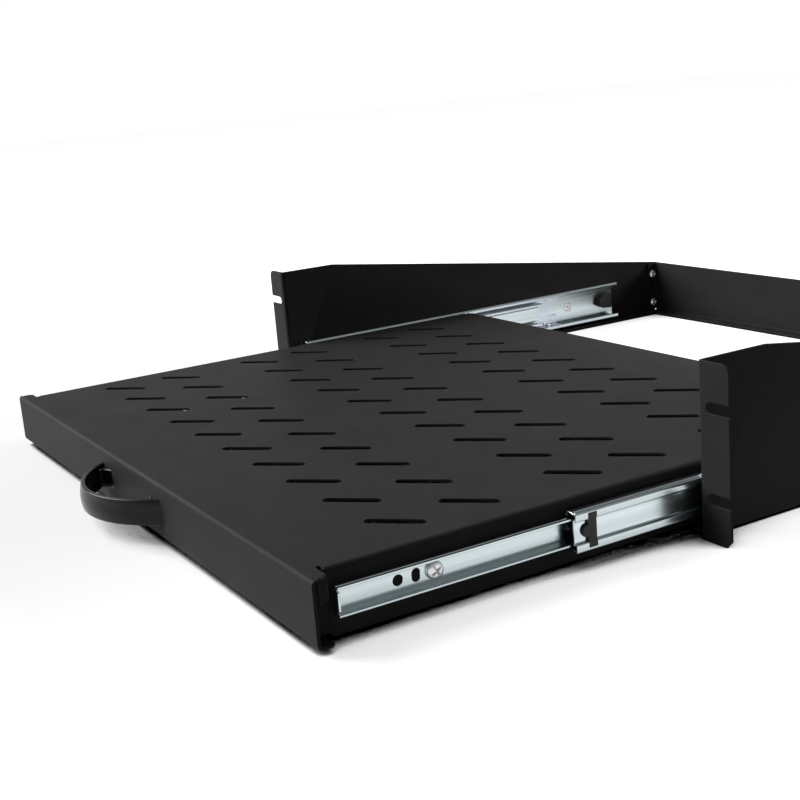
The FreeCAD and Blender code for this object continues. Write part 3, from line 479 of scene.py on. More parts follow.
def add_sheet(mesh, outer, holes, lines, place, low, high, rim=RIM):
    """Adds a sheet cut to its loops, its rims softened, its points set by place(u, v, w)."""
    loops = [split_loop(oriented(loop, i == 0), lines) for i, loop in enumerate([outer, *holes])]
    rims = [offset_loop(loop, rim) for loop in loops]
    points = [Vector(p) for loop in rims for p in loop]
    edges = []
    for loop in rims:
        first = len(edges)
        edges += [(first + i, first + (i + 1) % len(loop)) for i in range(len(loop))]
    edges += fold_edges(points, lines, rims)
    found, _, faces, origins, _, _ = delaunay_2d_cdt(points, edges, [], 0, SAME_POINT)
    kept = inside([sum((found[i] for i in face), Vector((0, 0))) / 3 for face in faces], rims)
    number = []
    for i, origin in enumerate(origins):
        if not origin:
            points.append(found[i])
        number.append(origin[0] if origin else len(points) - 1)

    def row(items, level):
        return [mesh.verts.new([c * MM for c in place(p[0], p[1], level)]) for p in items]

    top = row(points, high)
    bottom = row(points, low)
    for face, keep in zip(faces, kept):
        corners = [number[i] for i in face]
        if keep and len(set(corners)) == 3:
            mesh.faces.new([top[i] for i in corners])
            mesh.faces.new([bottom[i] for i in reversed(corners)])
    first = 0
    for loop in loops:
        count = len(loop)
        rows = [
            bottom[first : first + count],
            row(loop, low + rim),
            row(loop, high - rim),
            top[first : first + count],
        ]
        join_rows(mesh, rows)
        first += count


def join_rows(mesh, rows):
    """Adds a band of faces between each two neighbours of a list of closed rows of points."""
    for under, over in zip(rows, rows[1:]):
        count = len(under)
        for i in range(count):
            j = (i + 1) % count
            mesh.faces.new([under[i], under[j], over[j], over[i]])


def lathe(mesh, profile, steps):
    """Turns a profile of (radius, height) about the upright axis, closed at its axis points."""
    rows = []
    for radius, height in profile:
        ring = [(0, 0)] if radius < NO_RUN else circle((0, 0), radius, steps)
        rows.append([mesh.verts.new((x * MM, y * MM, height * MM)) for x, y in ring])
    for under, over in zip(rows, rows[1:]):
        for i in range(steps):
            j = (i + 1) % steps
            corners = [under[k % len(under)] for k in (i, j)]
            corners += [over[k % len(over)] for k in (j, i)]
            mesh.faces.new(list(dict.fromkeys(corners)))


def copies(template, moves):
    """A mesh with one copy of the template at each matrix."""
    mesh = bmesh.new()
    for move in moves:
        copy = template.copy()
        copy.transform(move)
        mesh.from_mesh(copy)
        bpy.data.meshes.remove(copy)
    return mesh


def add_piece(name, mesh, body, slot, nodes, sharp=30):
    """Makes an object of a mesh: it rides on a body, wears a slot's finish, replaces CAD nodes."""
    loose = [v for v in mesh.verts if not v.link_faces]
    bmesh.ops.delete(mesh, geom=loose, context="VERTS")
    bmesh.ops.recalc_face_normals(mesh, faces=mesh.faces)
    for face in mesh.faces:
        face.smooth = True
    data = bpy.data.meshes.new(name)
    mesh.to_mesh(data)
    mesh.free()
    data.set_sharp_from_angle(angle=math.radians(sharp))
    data.materials.append(finishes[slot])
    piece = bpy.data.objects.new(name, data)
    bpy.context.scene.collection.objects.link(piece)
    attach(piece, body)
    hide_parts(*nodes)


def fold_path(folds):
    """Gives place and direction at any distance along a strip with folds (start, radius, turn)."""

    def at(distance):
        x, y, angle, done = 0.0, 0.0, 0.0, 0.0
        for start, radius, turn in folds:
            if distance <= start:
                break
            x += (start - done) * math.cos(angle)
            y += (start - done) * math.sin(angle)
            length = radius * abs(turn)
            part = min(distance - start, length)
            curve = turn / length
            ahead = angle + curve * part
            x += (math.sin(ahead) - math.sin(angle)) / curve
            y += (math.cos(angle) - math.cos(ahead)) / curve
            angle = ahead
            done = start + part
        rest = distance - done
        return x + rest * math.cos(angle), y + rest * math.sin(angle), angle

    return at


def fold_marks(folds, steps=BEND_STEPS, guard=BEND_GUARD):
    """Distances along a strip at which a fold needs its own row of points."""
    marks = []
    for start, radius, turn in folds:
        length = radius * abs(turn)
        marks += [start - guard, start + length + guard]
        marks += [start + length * i / steps for i in range(steps + 1)]
    return sorted(marks)


def rectangle(low, high):
    """Outline between two corners."""
    (u0, v0), (u1, v1) = low, high
    return [(u0, v0), (u1, v0), (u1, v1), (u0, v1)]


def with_mirror(half):
    """A closed outline from its half on the positive side."""
    return half + [(-u, v) for u, v in reversed(half)]


# folded frame and tray


def make_side_bracket(side, sign):
    ear = [(0, BEND_OUTSIDE, QUARTER)]
    flange = [(0, BEND_INSIDE, -QUARTER)]
    ear_path, flange_path = fold_path(ear), fold_path(flange)
    ear_fold = BEND_INSIDE
    flange_fold = PLATE_BOTTOM + BEND_OUTSIDE
    ear_end = ear_fold - WIDE_ARC - (EAR_EDGE - PLATE_FACE - BEND_OUTSIDE)
    flange_low = flange_fold - TIGHT_ARC - (FLANGE_WIDTH - BEND_INSIDE)
    relief = flange_fold + FLANGE_RELIEF

    def place(u, v, w):
        if u < ear_fold:
            along, out, angle = ear_path(ear_fold - u)
            x = PLATE_FACE + out + w * math.cos(angle)
            return sign * x, ear_fold - along + w * math.sin(angle), v
        # the ear's foot, in front of the flange, stays flat
        if v < flange_fold and u > BEND_OUTSIDE + EAR_FOOT_GAP:
            along, out, angle = flange_path(flange_fold - v)
            x = PLATE_FACE + out + w * math.cos(angle)
            return sign * x, u, flange_fold - along + w * math.sin(angle)
        return sign * (PLATE_FACE + w), u, v

    lines = [(0, ear_fold - mark, -EAR_TOP, EAR_TOP) for mark in fold_marks(ear)]
    lines += [(1, flange_fold - mark, FLANGE_START, FLANGE_END) for mark in fold_marks(flange)]
    outline = [
        (ear_end + EAR_CHAMFER, -EAR_TOP),
        (BEND_OUTSIDE, -EAR_TOP),
        (BEND_OUTSIDE, relief),
        (FLANGE_START, relief),
        (FLANGE_START, flange_low + FLANGE_FRONT_CLIP),
        (FLANGE_START + FLANGE_FRONT_CLIP, flange_low),
        (FLANGE_END - FLANGE_CLIP, flange_low),
        (FLANGE_END, flange_low + FLANGE_CLIP),
        (FLANGE_END, flange_fold),
        (PLATE_DEPTH, flange_fold),
        (PLATE_DEPTH, REAR_TOP),
        (SHOULDER_DEPTH, EAR_TOP),
    ]
    outline += arc((ear_end + EAR_CORNER, EAR_TOP - EAR_CORNER), EAR_CORNER, 90, 180, 6)
    for level in (EAR_SLOT_LEVEL, -EAR_SLOT_LEVEL):
        middle = (ear_end + EAR_SLOT_DEPTH - EAR_SLOT_HALF, level)
        outline.append((ear_end, level + EAR_SLOT_HALF))
        outline += arc(middle, EAR_SLOT_HALF, 90, -90, 10)
        outline.append((ear_end, level - EAR_SLOT_HALF))
    outline.append((ear_end, EAR_CHAMFER - EAR_TOP))
    mesh = bmesh.new()
    add_sheet(mesh, outline, [], lines, place, 0, SHEET)
    node = f"{side}_side_bracket"
    add_piece(f"{node}_sheet", mesh, "frame", "powder_coat", [node])


def make_rear_crossbar():
    fold = [(0, BEND_OUTSIDE, -QUARTER)]
    path = fold_path(fold)
    marks = fold_marks(fold)
    tab_fold = PLATE_FACE - BEND_OUTSIDE
    flange_fold = PLATE_BOTTOM + BEND_OUTSIDE
    tab_end = tab_fold + WIDE_ARC + CROSSBAR_TAB - BEND_OUTSIDE
    flange_low = flange_fold - WIDE_ARC - (CROSSBAR_FLANGE - BEND_OUTSIDE)
    flange_half = CROSSBAR_FLANGE_HALF

    def place(u, v, w):
        if abs(u) > tab_fold:
            along, back, angle = path(abs(u) - tab_fold)
            x = tab_fold + along - w * math.sin(angle)
            return math.copysign(x, u), PLATE_DEPTH + back + w * math.cos(angle), v
        # beyond the flange the web runs straight down
        if v < flange_fold and abs(u) < flange_half + CROSSBAR_RELIEF / 2:
            along, back, angle = path(flange_fold - v)
            z = flange_fold - along + w * math.sin(angle)
            return u, PLATE_DEPTH + back + w * math.cos(angle), z
        return u, PLATE_DEPTH + w, v

    lines = []
    for mark in marks:
        lines += [(0, sign * (tab_fold + mark), PLATE_BOTTOM, REAR_TOP) for sign in (-1, 1)]
    lines += [(1, flange_fold - mark, -flange_half, flange_half) for mark in marks]
    web_low = PLATE_BOTTOM + WEB_LIFT
    web_end = tab_fold + WEB_BEND_SHARE * WIDE_ARC
    half = [
        (flange_half - FLANGE_CLIP, flange_low),
        (flange_half, flange_low + FLANGE_CLIP),
        (flange_half, flange_fold),
        (flange_half + CROSSBAR_RELIEF, flange_fold),
        (flange_half + CROSSBAR_RELIEF, web_low),
        (web_end, web_low),
        (web_end, flange_fold),
        (tab_end - CORNER_CLIP, flange_fold),
        (tab_end, flange_fold + CORNER_CLIP),
        (tab_end, REAR_TOP - CORNER_CLIP),
        (tab_end - CORNER_CLIP, REAR_TOP),
    ]
    mesh = bmesh.new()
    add_sheet(mesh, with_mirror(half), [], lines, place, -SHEET, 0)
    add_piece("rear_crossbar_sheet", mesh, "frame", "powder_coat", ["rear_crossbar"])


def deck_slots():
    """Outlines of the deck's diagonal slots, round at both ends."""
    radius = SLOT_WIDTH / 2
    reach = SLOT_LENGTH / 2 - radius
    diagonal = math.sqrt(0.5)
    slots = []
    for row in SLOT_ROWS:
        for column in SLOT_COLUMNS:
            far = (column + reach * diagonal, row + reach * diagonal)
            near = (column - reach * diagonal, row - reach * diagonal)
            slots.append(arc(far, radius, -45, 135, 8) + arc(near, radius, 135, 315, 8))
    return slots


def make_tray():
    front_fold = TRAY_FRONT + BEND_OUTSIDE
    side_fold = TRAY_SIDE - BEND_OUTSIDE
    rear_fold = TRAY_BACK - BEND_OUTSIDE
    tab_fold = FRONT_HALF - BEND_OUTSIDE
    drop = DECK - TRAY_BOTTOM
    lip_start = WIDE_ARC + drop - 2 * BEND_OUTSIDE
    fronts = [(0, BEND_OUTSIDE, -QUARTER), (lip_start, BEND_OUTSIDE, -QUARTER)]
    single = [(0, BEND_OUTSIDE, -QUARTER)]
    front_path, single_path = fold_path(fronts), fold_path(single)
    front_end = front_fold - lip_start - WIDE_ARC - (FRONT_LIP - BEND_OUTSIDE)
    side_end = side_fold + WIDE_ARC + drop - BEND_OUTSIDE
    rear_end = rear_fold + WIDE_ARC + drop - BEND_OUTSIDE
    tab_end = tab_fold + WIDE_ARC + TAB_HEIGHT - BEND_OUTSIDE
    relief = (STRIP_BACK + SIDE_START) / 2

    def sideways(u, v, w, fold):
        along, up, angle = single_path(abs(u) - fold)
        x = fold + along - w * math.sin(angle)
        return math.copysign(x, u), v, DECK + up + w * math.cos(angle)

    def on_side(u, v, w):
        return sideways(u, v, w, side_fold)

    def place(u, v, w):
        if v < front_fold:
            along, up, angle = front_path(front_fold - v)
            return u, front_fold - along + w * math.sin(angle), DECK + up + w * math.cos(angle)
        if abs(u) > tab_fold and v < relief:
            return sideways(u, v, w, tab_fold)
        if abs(u) > side_fold and v > relief:
            return on_side(u, v, w)
        if v > rear_fold:
            along, up, angle = single_path(v - rear_fold)
            return u, rear_fold + along - w * math.sin(angle), DECK + up + w * math.cos(angle)
        return u, v, DECK + w

    cut_low = front_fold - TAB_CUT[0]
    tab_start = front_fold + TAB_CUT[1]
    tab_back = tab_start + TAB_DEPTH
    tab_root = tab_fold - TAB_ROOT
    marks = fold_marks(single)
    lines = [(1, front_fold - mark, -FRONT_HALF, FRONT_HALF) for mark in fold_marks(fronts)]
    lines += [(1, rear_fold + mark, -DECK_INNER, DECK_INNER) for mark in marks]
    for sign in SIDES.values():
        lines += [(0, sign * (side_fold + mark), SIDE_START, SIDE_END) for mark in marks]
        lines += [(0, sign * (tab_fold + mark), tab_start, tab_back) for mark in marks]
    half = [
        (FRONT_HALF - FLANGE_CLIP, front_end),
        (FRONT_HALF, front_end + FLANGE_CLIP),
        (FRONT_HALF, cut_low),
        (tab_root, cut_low),
        (tab_root, tab_start),
        (tab_end, tab_start),
        (tab_end - TAB_NOSE, tab_back - TAB_NOSE),
        (tab_end - TAB_SLOPE, tab_back),
        (tab_root, tab_back),
        (tab_root, STRIP_BACK - STRIP_CLIP),
        (tab_root - STRIP_CLIP, STRIP_BACK),
    ]
    radius = (SIDE_START - STRIP_BACK) / 2
    half += arc((DECK_INNER + radius, relief), radius, -90, -270, 8)
    half += [
        (side_end - CORNER_CLIP, SIDE_START),
        (side_end, SIDE_START + CORNER_CLIP),
        (side_end, SIDE_END - CORNER_CLIP),
        (side_end - CORNER_CLIP, SIDE_END),
        (DECK_INNER, SIDE_END),
        (DECK_INNER, rear_end - CORNER_CLIP),
        (DECK_INNER - CORNER_CLIP, rear_end),
    ]
    rail_hole = side_fold + WIDE_ARC + DECK - BEND_OUTSIDE - SLIDE_LEVEL
    handle_hole = front_fold - WIDE_ARC - (DECK - BEND_OUTSIDE - HANDLE_SCREW_LEVEL)
    holes = deck_slots()
    for sign in SIDES.values():
        holes += [circle((sign * rail_hole, screw), SCREW_HOLE, 10) for screw in INNER_SCREWS]
        holes.append(circle((sign * HANDLE_SCREW, handle_hole), SCREW_HOLE, 10))
    mesh = bmesh.new()
    add_sheet(mesh, with_mirror(half), holes, lines, place, -SHEET, 0)

    # tongues that carry the side flanges forward, between the strip and the lip
    front = TRAY_FRONT + SHEET + TONGUE_GAP
    back = SIDE_START - TONGUE_SEAM
    top = side_fold + TONGUE_BEND_SHARE * WIDE_ARC
    tongue = rectangle((top, front), (side_end - SHEET - TONGUE_GAP, back))
    for sign in SIDES.values():
        bends = [(0, sign * (side_fold + mark), front, back) for mark in marks]
        outline = [(sign * u, v) for u, v in tongue]
        add_sheet(mesh, outline, [], bends, on_side, -SHEET, 0, TONGUE_RIM)
    add_piece("tray_sheet", mesh, "tray", "powder_coat", ["tray"])


# slides


def section(corners):
    """Folds of a strip through corners (depth, height, radius), its length and first heading."""
    folds = []
    done = 0.0
    heading = None
    for i in range(1, len(corners)):
        here, there = Vector(corners[i - 1][:2]), Vector(corners[i][:2])
        way = math.atan2(there.y - here.y, there.x - here.x)
        if heading is None:
            first = way
        else:
            turn = (way - heading + math.pi) % (2 * math.pi) - math.pi
            radius = corners[i - 1][2]
            cut = radius * math.tan(abs(turn) / 2)
            folds.append((done - cut, radius, turn))
            done += radius * abs(turn) - 2 * cut
        done += (there - here).length
        heading = way
    return folds, done, first


def rail_strip(sign, upper):
    """Length, fold marks and place(u, v, w) of a strip through a section with this upper half."""
    corners = upper + [(depth, -height, radius) for depth, height, radius in reversed(upper)]
    folds, length, first = section(corners)
    path = fold_path(folds)
    start = corners[0]

    def place(u, v, w):
        along, up, angle = path(u)
        way = angle + first
        depth = start[0] + along * math.cos(first) - up * math.sin(first) - w * math.sin(way)
        height = start[1] + along * math.sin(first) + up * math.cos(first) + w * math.cos(way)
        return sign * (PLATE_FACE - depth), v, SLIDE_LEVEL + height

    return length, fold_marks(folds, RAIL_STEPS, RAIL_GUARD), place


def strip_lines(marks, ends):
    return [(0, mark, ends[0] - STRIP_REACH, ends[1] + STRIP_REACH) for mark in marks]


def notched_strip(length, ends, half, floor):
    """Outline of a strip with a notch in the middle of its back end, as deep as the floor."""
    front, back = ends
    middle = length / 2
    return [
        (0, front),
        (length, front),
        (length, back),
        (middle + half, back),
        (middle + half, floor),
        (middle - half, floor),
        (middle - half, back),
        (0, back),
    ]


def beside_plate(sign):
    """Gives place(u, v, w) for a block on the slide: distance along, height, depth."""

    def place(u, v, w):
        return sign * (PLATE_FACE - w), u, SLIDE_LEVEL + v

    return place


def make_outer_rail(side, sign):
    length, marks, place = rail_strip(sign, OUTER_SECTION)
    outline = notched_strip(length, OUTER_ENDS, OUTER_NOTCH_HALF, OUTER_NOTCH_FLOOR)
    holes = [circle((length / 2, y), OUTER_SCREW_HOLE, 20) for y in OUTER_SCREWS]
    lines = strip_lines(marks, OUTER_ENDS)
    mesh = bmesh.new()
    half = OUTER_HALF_SHEET
    add_sheet(mesh, outline, holes, lines, place, -half, half, RAIL_RIM)
    node = f"outer_rail_{side}"
    add_piece(f"{node}_channel", mesh, "frame", "zinc_rail", [node])


def stop_profile(front, nose, top, bottom, length):
    """Side view of a stop in (distance along, height), its round nose towards the front."""
    ends = [(front, -bottom), (front + length, -bottom), (front + length, top)]
    return [(front, top), *arc((front, 0), nose, 90, 270, 12), *ends]


def make_middle_rail(side, sign):
    length, marks, place = rail_strip(sign, MIDDLE_LIP + MIDDLE_GROOVE + MIDDLE_STEP)
    middle = length / 2
    front, back = MIDDLE_ENDS[side]
    step_run = STEP_DEPTH - 4 * STEP_RADIUS + STEP_RADIUS * math.pi

    def level(height):
        """Distance along the section at a height on the web, or on a band beyond the step."""
        extra = step_run if abs(height) > STEP_LEVEL else 0.0
        return middle - height - math.copysign(extra, height)

    hole = [(level(h), y) for y, h in stop_profile(front + STOP_PLACE, *STOP_HOLE)]
    outline = [
        (MIDDLE_CLIP, front),
        (length - MIDDLE_CLIP, front),
        (length, front + MIDDLE_CLIP),
        (length, back - MIDDLE_CLIP),
        (length - MIDDLE_CLIP, back),
        (MIDDLE_CLIP, back),
        (0, back - MIDDLE_CLIP),
        (0, front + MIDDLE_CLIP),
    ]
    lines = strip_lines(marks, MIDDLE_ENDS[side])
    mesh = bmesh.new()
    half = MIDDLE_HALF_SHEET
    add_sheet(mesh, outline, [hole], lines, place, -half, half, RAIL_RIM)
    node = f"middle_rail_{side}"
    add_piece(f"{node}_channel", mesh, f"middle_rail_{side}", "zinc_rail", [node])


def make_inner_rail(side, sign):
    length, marks, strip = rail_strip(sign, INNER_SECTION)
    middle = length / 2
    front, back = INNER_ENDS
    tab = [(0, END_TAB_RADIUS, QUARTER)]
    tab_path = fold_path(tab)
    tab_fold = front + INNER_HALF_SHEET + END_TAB_RADIUS
    tab_run = END_TAB_RADIUS * QUARTER + INNER_WEB - END_TAB_DEPTH - END_TAB_RADIUS
    tab_end = tab_fold - tab_run

    def place(u, v, w):
        if v >= tab_fold or abs(u - middle) > INNER_WEB_HALF + LINE_SLACK:
            return strip(u, v, w)
        along, out, angle = tab_path(tab_fold - v)
        depth = INNER_WEB - out - w * math.cos(angle)
        y = tab_fold - along + w * math.sin(angle)
        return sign * (PLATE_FACE - depth), y, SLIDE_LEVEL - (u - middle)

    low, high = middle - INNER_WEB_HALF, middle + INNER_WEB_HALF
    cut, cut_end = END_TAB_CUT[0], tab_fold + END_TAB_CUT[1]
    outline = [
        (0, front),
        (low - cut, front),
        (low - cut, cut_end),
        (low, cut_end),
        (low, tab_end + CORNER_CLIP),
        (low + CORNER_CLIP, tab_end),
        (high - CORNER_CLIP, tab_end),
        (high, tab_end + CORNER_CLIP),
        (high, cut_end),
        (high + cut, cut_end),
        (high + cut, front),
        (length, front),
        (length, back),
        (0, back),
    ]
    lines = strip_lines(marks, INNER_ENDS)
    tab_marks = fold_marks(tab, BEND_STEPS, END_TAB_GUARD)
    lines += [(1, tab_fold - mark, low, high) for mark in tab_marks]
    slot = front + INNER_SLOT
    slot_low = arc((middle - INNER_SLOT_REACH, slot), SCREW_HOLE, 90, 270, 8)
    slot_high = arc((middle + INNER_SLOT_REACH, slot), SCREW_HOLE, -90, 90, 8)
    holes = [circle((middle, front + INNER_HOLE), INNER_HOLE_RADIUS, 20), slot_low + slot_high]
    holes += [circle((middle, y), SCREW_HOLE, 12) for y in INNER_SCREWS]
    mesh = bmesh.new()
    half = INNER_HALF_SHEET
    add_sheet(mesh, outline, holes, lines, place, -half, half, RAIL_RIM)
    node = f"inner_rail_{side}"
    add_piece(f"{node}_channel", mesh, "tray", "zinc_rail", [node])


def ball_places(ends):
    """Distances along a cage at which its balls sit."""
    pitch = (ends[1] - ends[0] - 2 * CAGE_MARGIN) / (BALL_ROWS - 1)
    return [ends[0] + CAGE_MARGIN + i * pitch for i in range(BALL_ROWS)]


def make_outer_cage(side, sign):
    length, marks, place = rail_strip(sign, CAGE_SECTION)
    ends = OUTER_CAGE_ENDS[side]
    outline = notched_strip(length, ends, CAGE_NOTCH_HALF, ends[1] - CAGE_NOTCH_DEPTH)
    holes = []
    for y in ball_places(ends):
        for across in (CAGE_HOLE_ACROSS, length - CAGE_HOLE_ACROSS):
            holes.append(circle((across, y), CAGE_HOLE, 14))
    lines = strip_lines(marks, ends)
    mesh = bmesh.new()
    half = CAGE_HALF_SHEET
    add_sheet(mesh, outline, holes, lines, place, -half, half, CAGE_RIM)
    node = f"outer_ball_cage_{side}"
    add_piece(f"{node}_strip", mesh, f"outer_cage_{side}", "cage_steel", [node])


def make_balls(which, side, sign, depth, level, radius, ends):
    ball = bmesh.new()
    lathe(ball, arc((0, 0), radius, -90, 90, BALL_RINGS), BALL_STEPS)
    template = bpy.data.meshes.new("ball")
    ball.to_mesh(template)
    ball.free()
    moves = []
    for i, along in enumerate(ball_places(ends)):
        for row in (-1, 1):
            middle = Vector((sign * (PLATE_FACE - depth), along, SLIDE_LEVEL + row * level))
            moves.append(Matrix.Translation(middle * MM) @ Matrix.Rotation(BALL_TURN * i, 4, "X"))
    mesh = copies(template, moves)
    node = f"{which}_balls_{side}"
    add_piece(f"{node}_set", mesh, f"{which}_cage_{side}", "ball_steel", [node], sharp=60)


def make_bumper(side, sign):
    place = beside_plate(sign)
    start, end = BUMPER_ENDS
    nose = start + BUMPER_NOSE_RADIUS
    shoulder, shoulder_half = start + BUMPER_SHOULDER[0], BUMPER_SHOULDER[1]
    block = arc((nose, BUMPER_NOSE_LEVEL), BUMPER_NOSE_RADIUS, 120, 180, 4)
    block += arc((nose, -BUMPER_NOSE_LEVEL), BUMPER_NOSE_RADIUS, 180, 240, 4)
    block += [
        (shoulder, -shoulder_half),
        (end - BUMPER_CLIP, -BUMPER_HALF),
        (end, BUMPER_CLIP - BUMPER_HALF),
        (end, BUMPER_HALF - BUMPER_CLIP),
        (end - BUMPER_CLIP, BUMPER_HALF),
        (shoulder, shoulder_half),
    ]
    foot_start, foot_half = BUMPER_FOOT
    foot = rectangle((foot_start, -foot_half), (end, foot_half))
    mesh = bmesh.new()
    add_sheet(mesh, block, [], [], place, *BUMPER_DEPTHS, BUMPER_RIM)
    add_sheet(mesh, foot, [], [], place, *BUMPER_FOOT_DEPTHS, BUMPER_FOOT_RIM)
    node = f"rail_bumper_{side}"
    add_piece(f"{node}_block", mesh, "frame", "bumper_rubber", [node])


def make_stop(side, sign):
    front = MIDDLE_ENDS[side][0] + STOP_PLACE
    profile = stop_profile(front + STOP_GAP, *STOP_CLIP)
    mesh = bmesh.new()
    add_sheet(mesh, profile, [], [], beside_plate(sign), *STOP_DEPTHS)
    node = f"rail_stop_{side}"
    add_piece(f"{node}_clip", mesh, f"middle_rail_{side}", "stop_plastic", [node])


# screws and handle


def mesh_object(name, mesh):
    """A plain object of a closed mesh, linked to the scene."""
    bmesh.ops.recalc_face_normals(mesh, faces=mesh.faces)
    data = bpy.data.meshes.new(name)
    mesh.to_mesh(data)
    mesh.free()
    item = bpy.data.objects.new(name, data)
    bpy.context.scene.collection.objects.link(item)
    return item


def cross_tool(top, depth, reach, half):
    """The tapered cross that a driver's recess is cut with."""
    mesh = bmesh.new()
    outline = []
    for quarter in range(4):
        turn = Matrix.Rotation(quarter * QUARTER, 2)
        outline += [turn @ Vector(p) for p in ((half, half), (half, reach), (-half, reach))]
    levels = [
        (1.0, top + RECESS_CLEAR),
        (1.0, top - RECESS_WAIST * depth),
        (RECESS_TIP, top - depth),
    ]
    rows = []
    for share, height in levels:
        row = [(p.x * share * MM, p.y * share * MM, height * MM) for p in outline]
        rows.append([mesh.verts.new(point) for point in row])
    join_rows(mesh, rows)
    mesh.faces.new(rows[0])
    mesh.faces.new(rows[-1])
    return mesh_object("cross", mesh)


def screw_mesh(profile, top, recess):
    """Mesh of one screw, its head up, with a cross recess."""
    mesh = bmesh.new()
    lathe(mesh, profile, SCREW_STEPS)
    head = mesh_object("screw", mesh)
    tool = cross_tool(top, *recess)
    cut = head.modifiers.new("recess", "BOOLEAN")
    cut.operation = "DIFFERENCE"
    cut.object = tool
    cut.solver = "EXACT"
    graph = bpy.context.evaluated_depsgraph_get()
    result = bpy.data.meshes.new_from_object(head.evaluated_get(graph))
    for item in (head, tool):
        bpy.data.objects.remove(item)
    return result


def pan_head(radius, height, shank):
    """Profile of a pan head: domed top, rounded rim, short shank below the seat."""
    rim = [(0.97, SEAT_SHARE), (1.0, 0.12), (1.0, 0.42), (0.97, 0.58)]
    dome = [(0.90, 0.72), (0.72, 0.87), (0.5, 0.95), (0.25, 0.99)]
    profile = [
        (0, -shank),
        (SHANK_TIP, -shank),
        (SHANK_RADIUS, SHANK_CHAMFER - shank),
        (SHANK_RADIUS, SEAT_SHARE * height),
    ]
    return profile + [(r * radius, h * height) for r, h in rim + dome] + [(0, height)]


def flat_head(radius, height):
    """Profile of a countersunk head whose flat top has a fine bevel."""
    return [
        (0, FLUSH_SEAT),
        (radius - FLUSH_TAPER, FLUSH_SEAT),
        (radius, height - FLUSH_EDGE),
        (radius - FLUSH_BEVEL, height),
        (0, height),
    ]


def place_screws(node, body, template, places, turn_step):
    """Copies one screw to each place (point, direction), every one turned differently."""
    moves = []
    for i, (point, direction) in enumerate(places):
        aim = Vector(direction).to_track_quat("Z", "Y").to_matrix().to_4x4()
        spin = Matrix.Rotation(turn_step * i + FIRST_TURN, 4, "Z")
        moves.append(Matrix.Translation(Vector(point) * MM) @ aim @ spin)
    mesh = copies(template, moves)
    add_piece(f"{node}_set", mesh, body, "screw_zinc", [node], sharp=35)


def make_screws():
    wide = screw_mesh(pan_head(*WIDE_HEAD), WIDE_HEAD[1], WIDE_RECESS)
    small = screw_mesh(pan_head(*SMALL_HEAD), SMALL_HEAD[1], SMALL_RECESS)
    flush = screw_mesh(flat_head(*FLUSH_HEAD), FLUSH_HEAD[1], FLUSH_RECESS)
    corner, webs, rails, grips = [], [], [], []
    for sign in SIDES.values():
        inwards, outwards = (-sign, 0, 0), (sign, 0, 0)
        tab = sign * (PLATE_FACE - SHEET)
        corner += [((tab, CORNER_SCREW_DEPTH, z), inwards) for z in CORNER_SCREW_LEVELS]
        webs += [((sign * PLATE_FACE, y, SLIDE_LEVEL), inwards) for y in OUTER_SCREWS]
        rails += [((sign * INNER_SEAT, y, SLIDE_LEVEL), outwards) for y in INNER_SCREWS]
        grip = (sign * HANDLE_SCREW, TRAY_FRONT + SHEET, HANDLE_SCREW_LEVEL)
        grips.append((grip, (0, 1, 0)))
    place_screws("crossbar_screws", "frame", small, corner, 1.1)
    place_screws("outer_rail_screws", "frame", flush, webs, 0.8)
    place_screws("inner_rail_screws", "tray", wide, rails, 0.9)
    place_screws("handle_screws", "tray", wide, grips, 0.6)


def handle_profile():
    """Cross-section of the bow in (radius, height): flat inside, swollen outside, edges round."""
    low, high = HANDLE_LOW + HANDLE_ROUND, HANDLE_HIGH - HANDLE_ROUND
    widest = low + HANDLE_WIDEST * (high - low)
    fall_above, power_above = HANDLE_FALL_ABOVE
    fall_below, power_below = HANDLE_FALL_BELOW
    outside = []
    for i in range(HANDLE_ROWS + 1):
        height = low + (high - low) * i / HANDLE_ROWS
        above = max(0.0, (height - widest) / (high - widest))
        below = max(0.0, (widest - height) / (widest - low))
        radius = HANDLE_RADIUS - fall_above * above**power_above - fall_below * below**power_below
        outside.append((radius, height))
    top_in, bottom_in = outside[-1][0] - HANDLE_ROUND, outside[0][0] - HANDLE_ROUND
    back = HANDLE_INNER + HANDLE_ROUND
    rounds = [
        ((top_in, high), 30, 90, 4),
        ((back, high), 90, 180, 5),
        ((back, low), 180, 270, 5),
        ((bottom_in, low), 270, 345, 5),
    ]
    for centre, start, end, steps in rounds:
        outside += arc(centre, HANDLE_ROUND, start, end, steps)
    return outside


def make_handle():
    profile = handle_profile()
    reach = HANDLE_CENTRE - TRAY_FRONT
    mesh = bmesh.new()
    rows = []
    for i in range(HANDLE_STEPS + 1):
        share = -1 + 2 * i / HANDLE_STEPS
        row = []
        for radius, height in profile:
            angle = share * math.acos(reach / radius)
            x = radius * math.sin(angle)
            y = HANDLE_CENTRE - radius * math.cos(angle)
            row.append(mesh.verts.new((x * MM, y * MM, height * MM)))
        rows.append(row)
    join_rows(mesh, rows)
    mesh.faces.new(rows[0])
    mesh.faces.new(rows[-1])

    def upright(u, v, w):
        return u, v, w

    # feet: webs that flare from the band's inside to the front flange
    near, far = FOOT_OUTSIDE
    bottom, top = HANDLE_LOW + FOOT_INSETS[0], HANDLE_HIGH - FOOT_INSETS[1]
    for sign in SIDES.values():
        flare = []
        for i in range(FOOT_STEPS + 1):
            share = i / FOOT_STEPS
            x = FOOT_START + FOOT_RUN * share
            flare.append((sign * x, TRAY_FRONT - FOOT_REACH * share**FOOT_POWER))
        flare += [(sign * near, TRAY_FRONT - FOOT_REACH), (sign * far, TRAY_FRONT)]
        add_sheet(mesh, flare, [], [], upright, bottom, top, FOOT_RIM)
    add_piece("pull_handle_bow", mesh, "tray", "handle_plastic", ["pull_handle"], sharp=40)


# stage


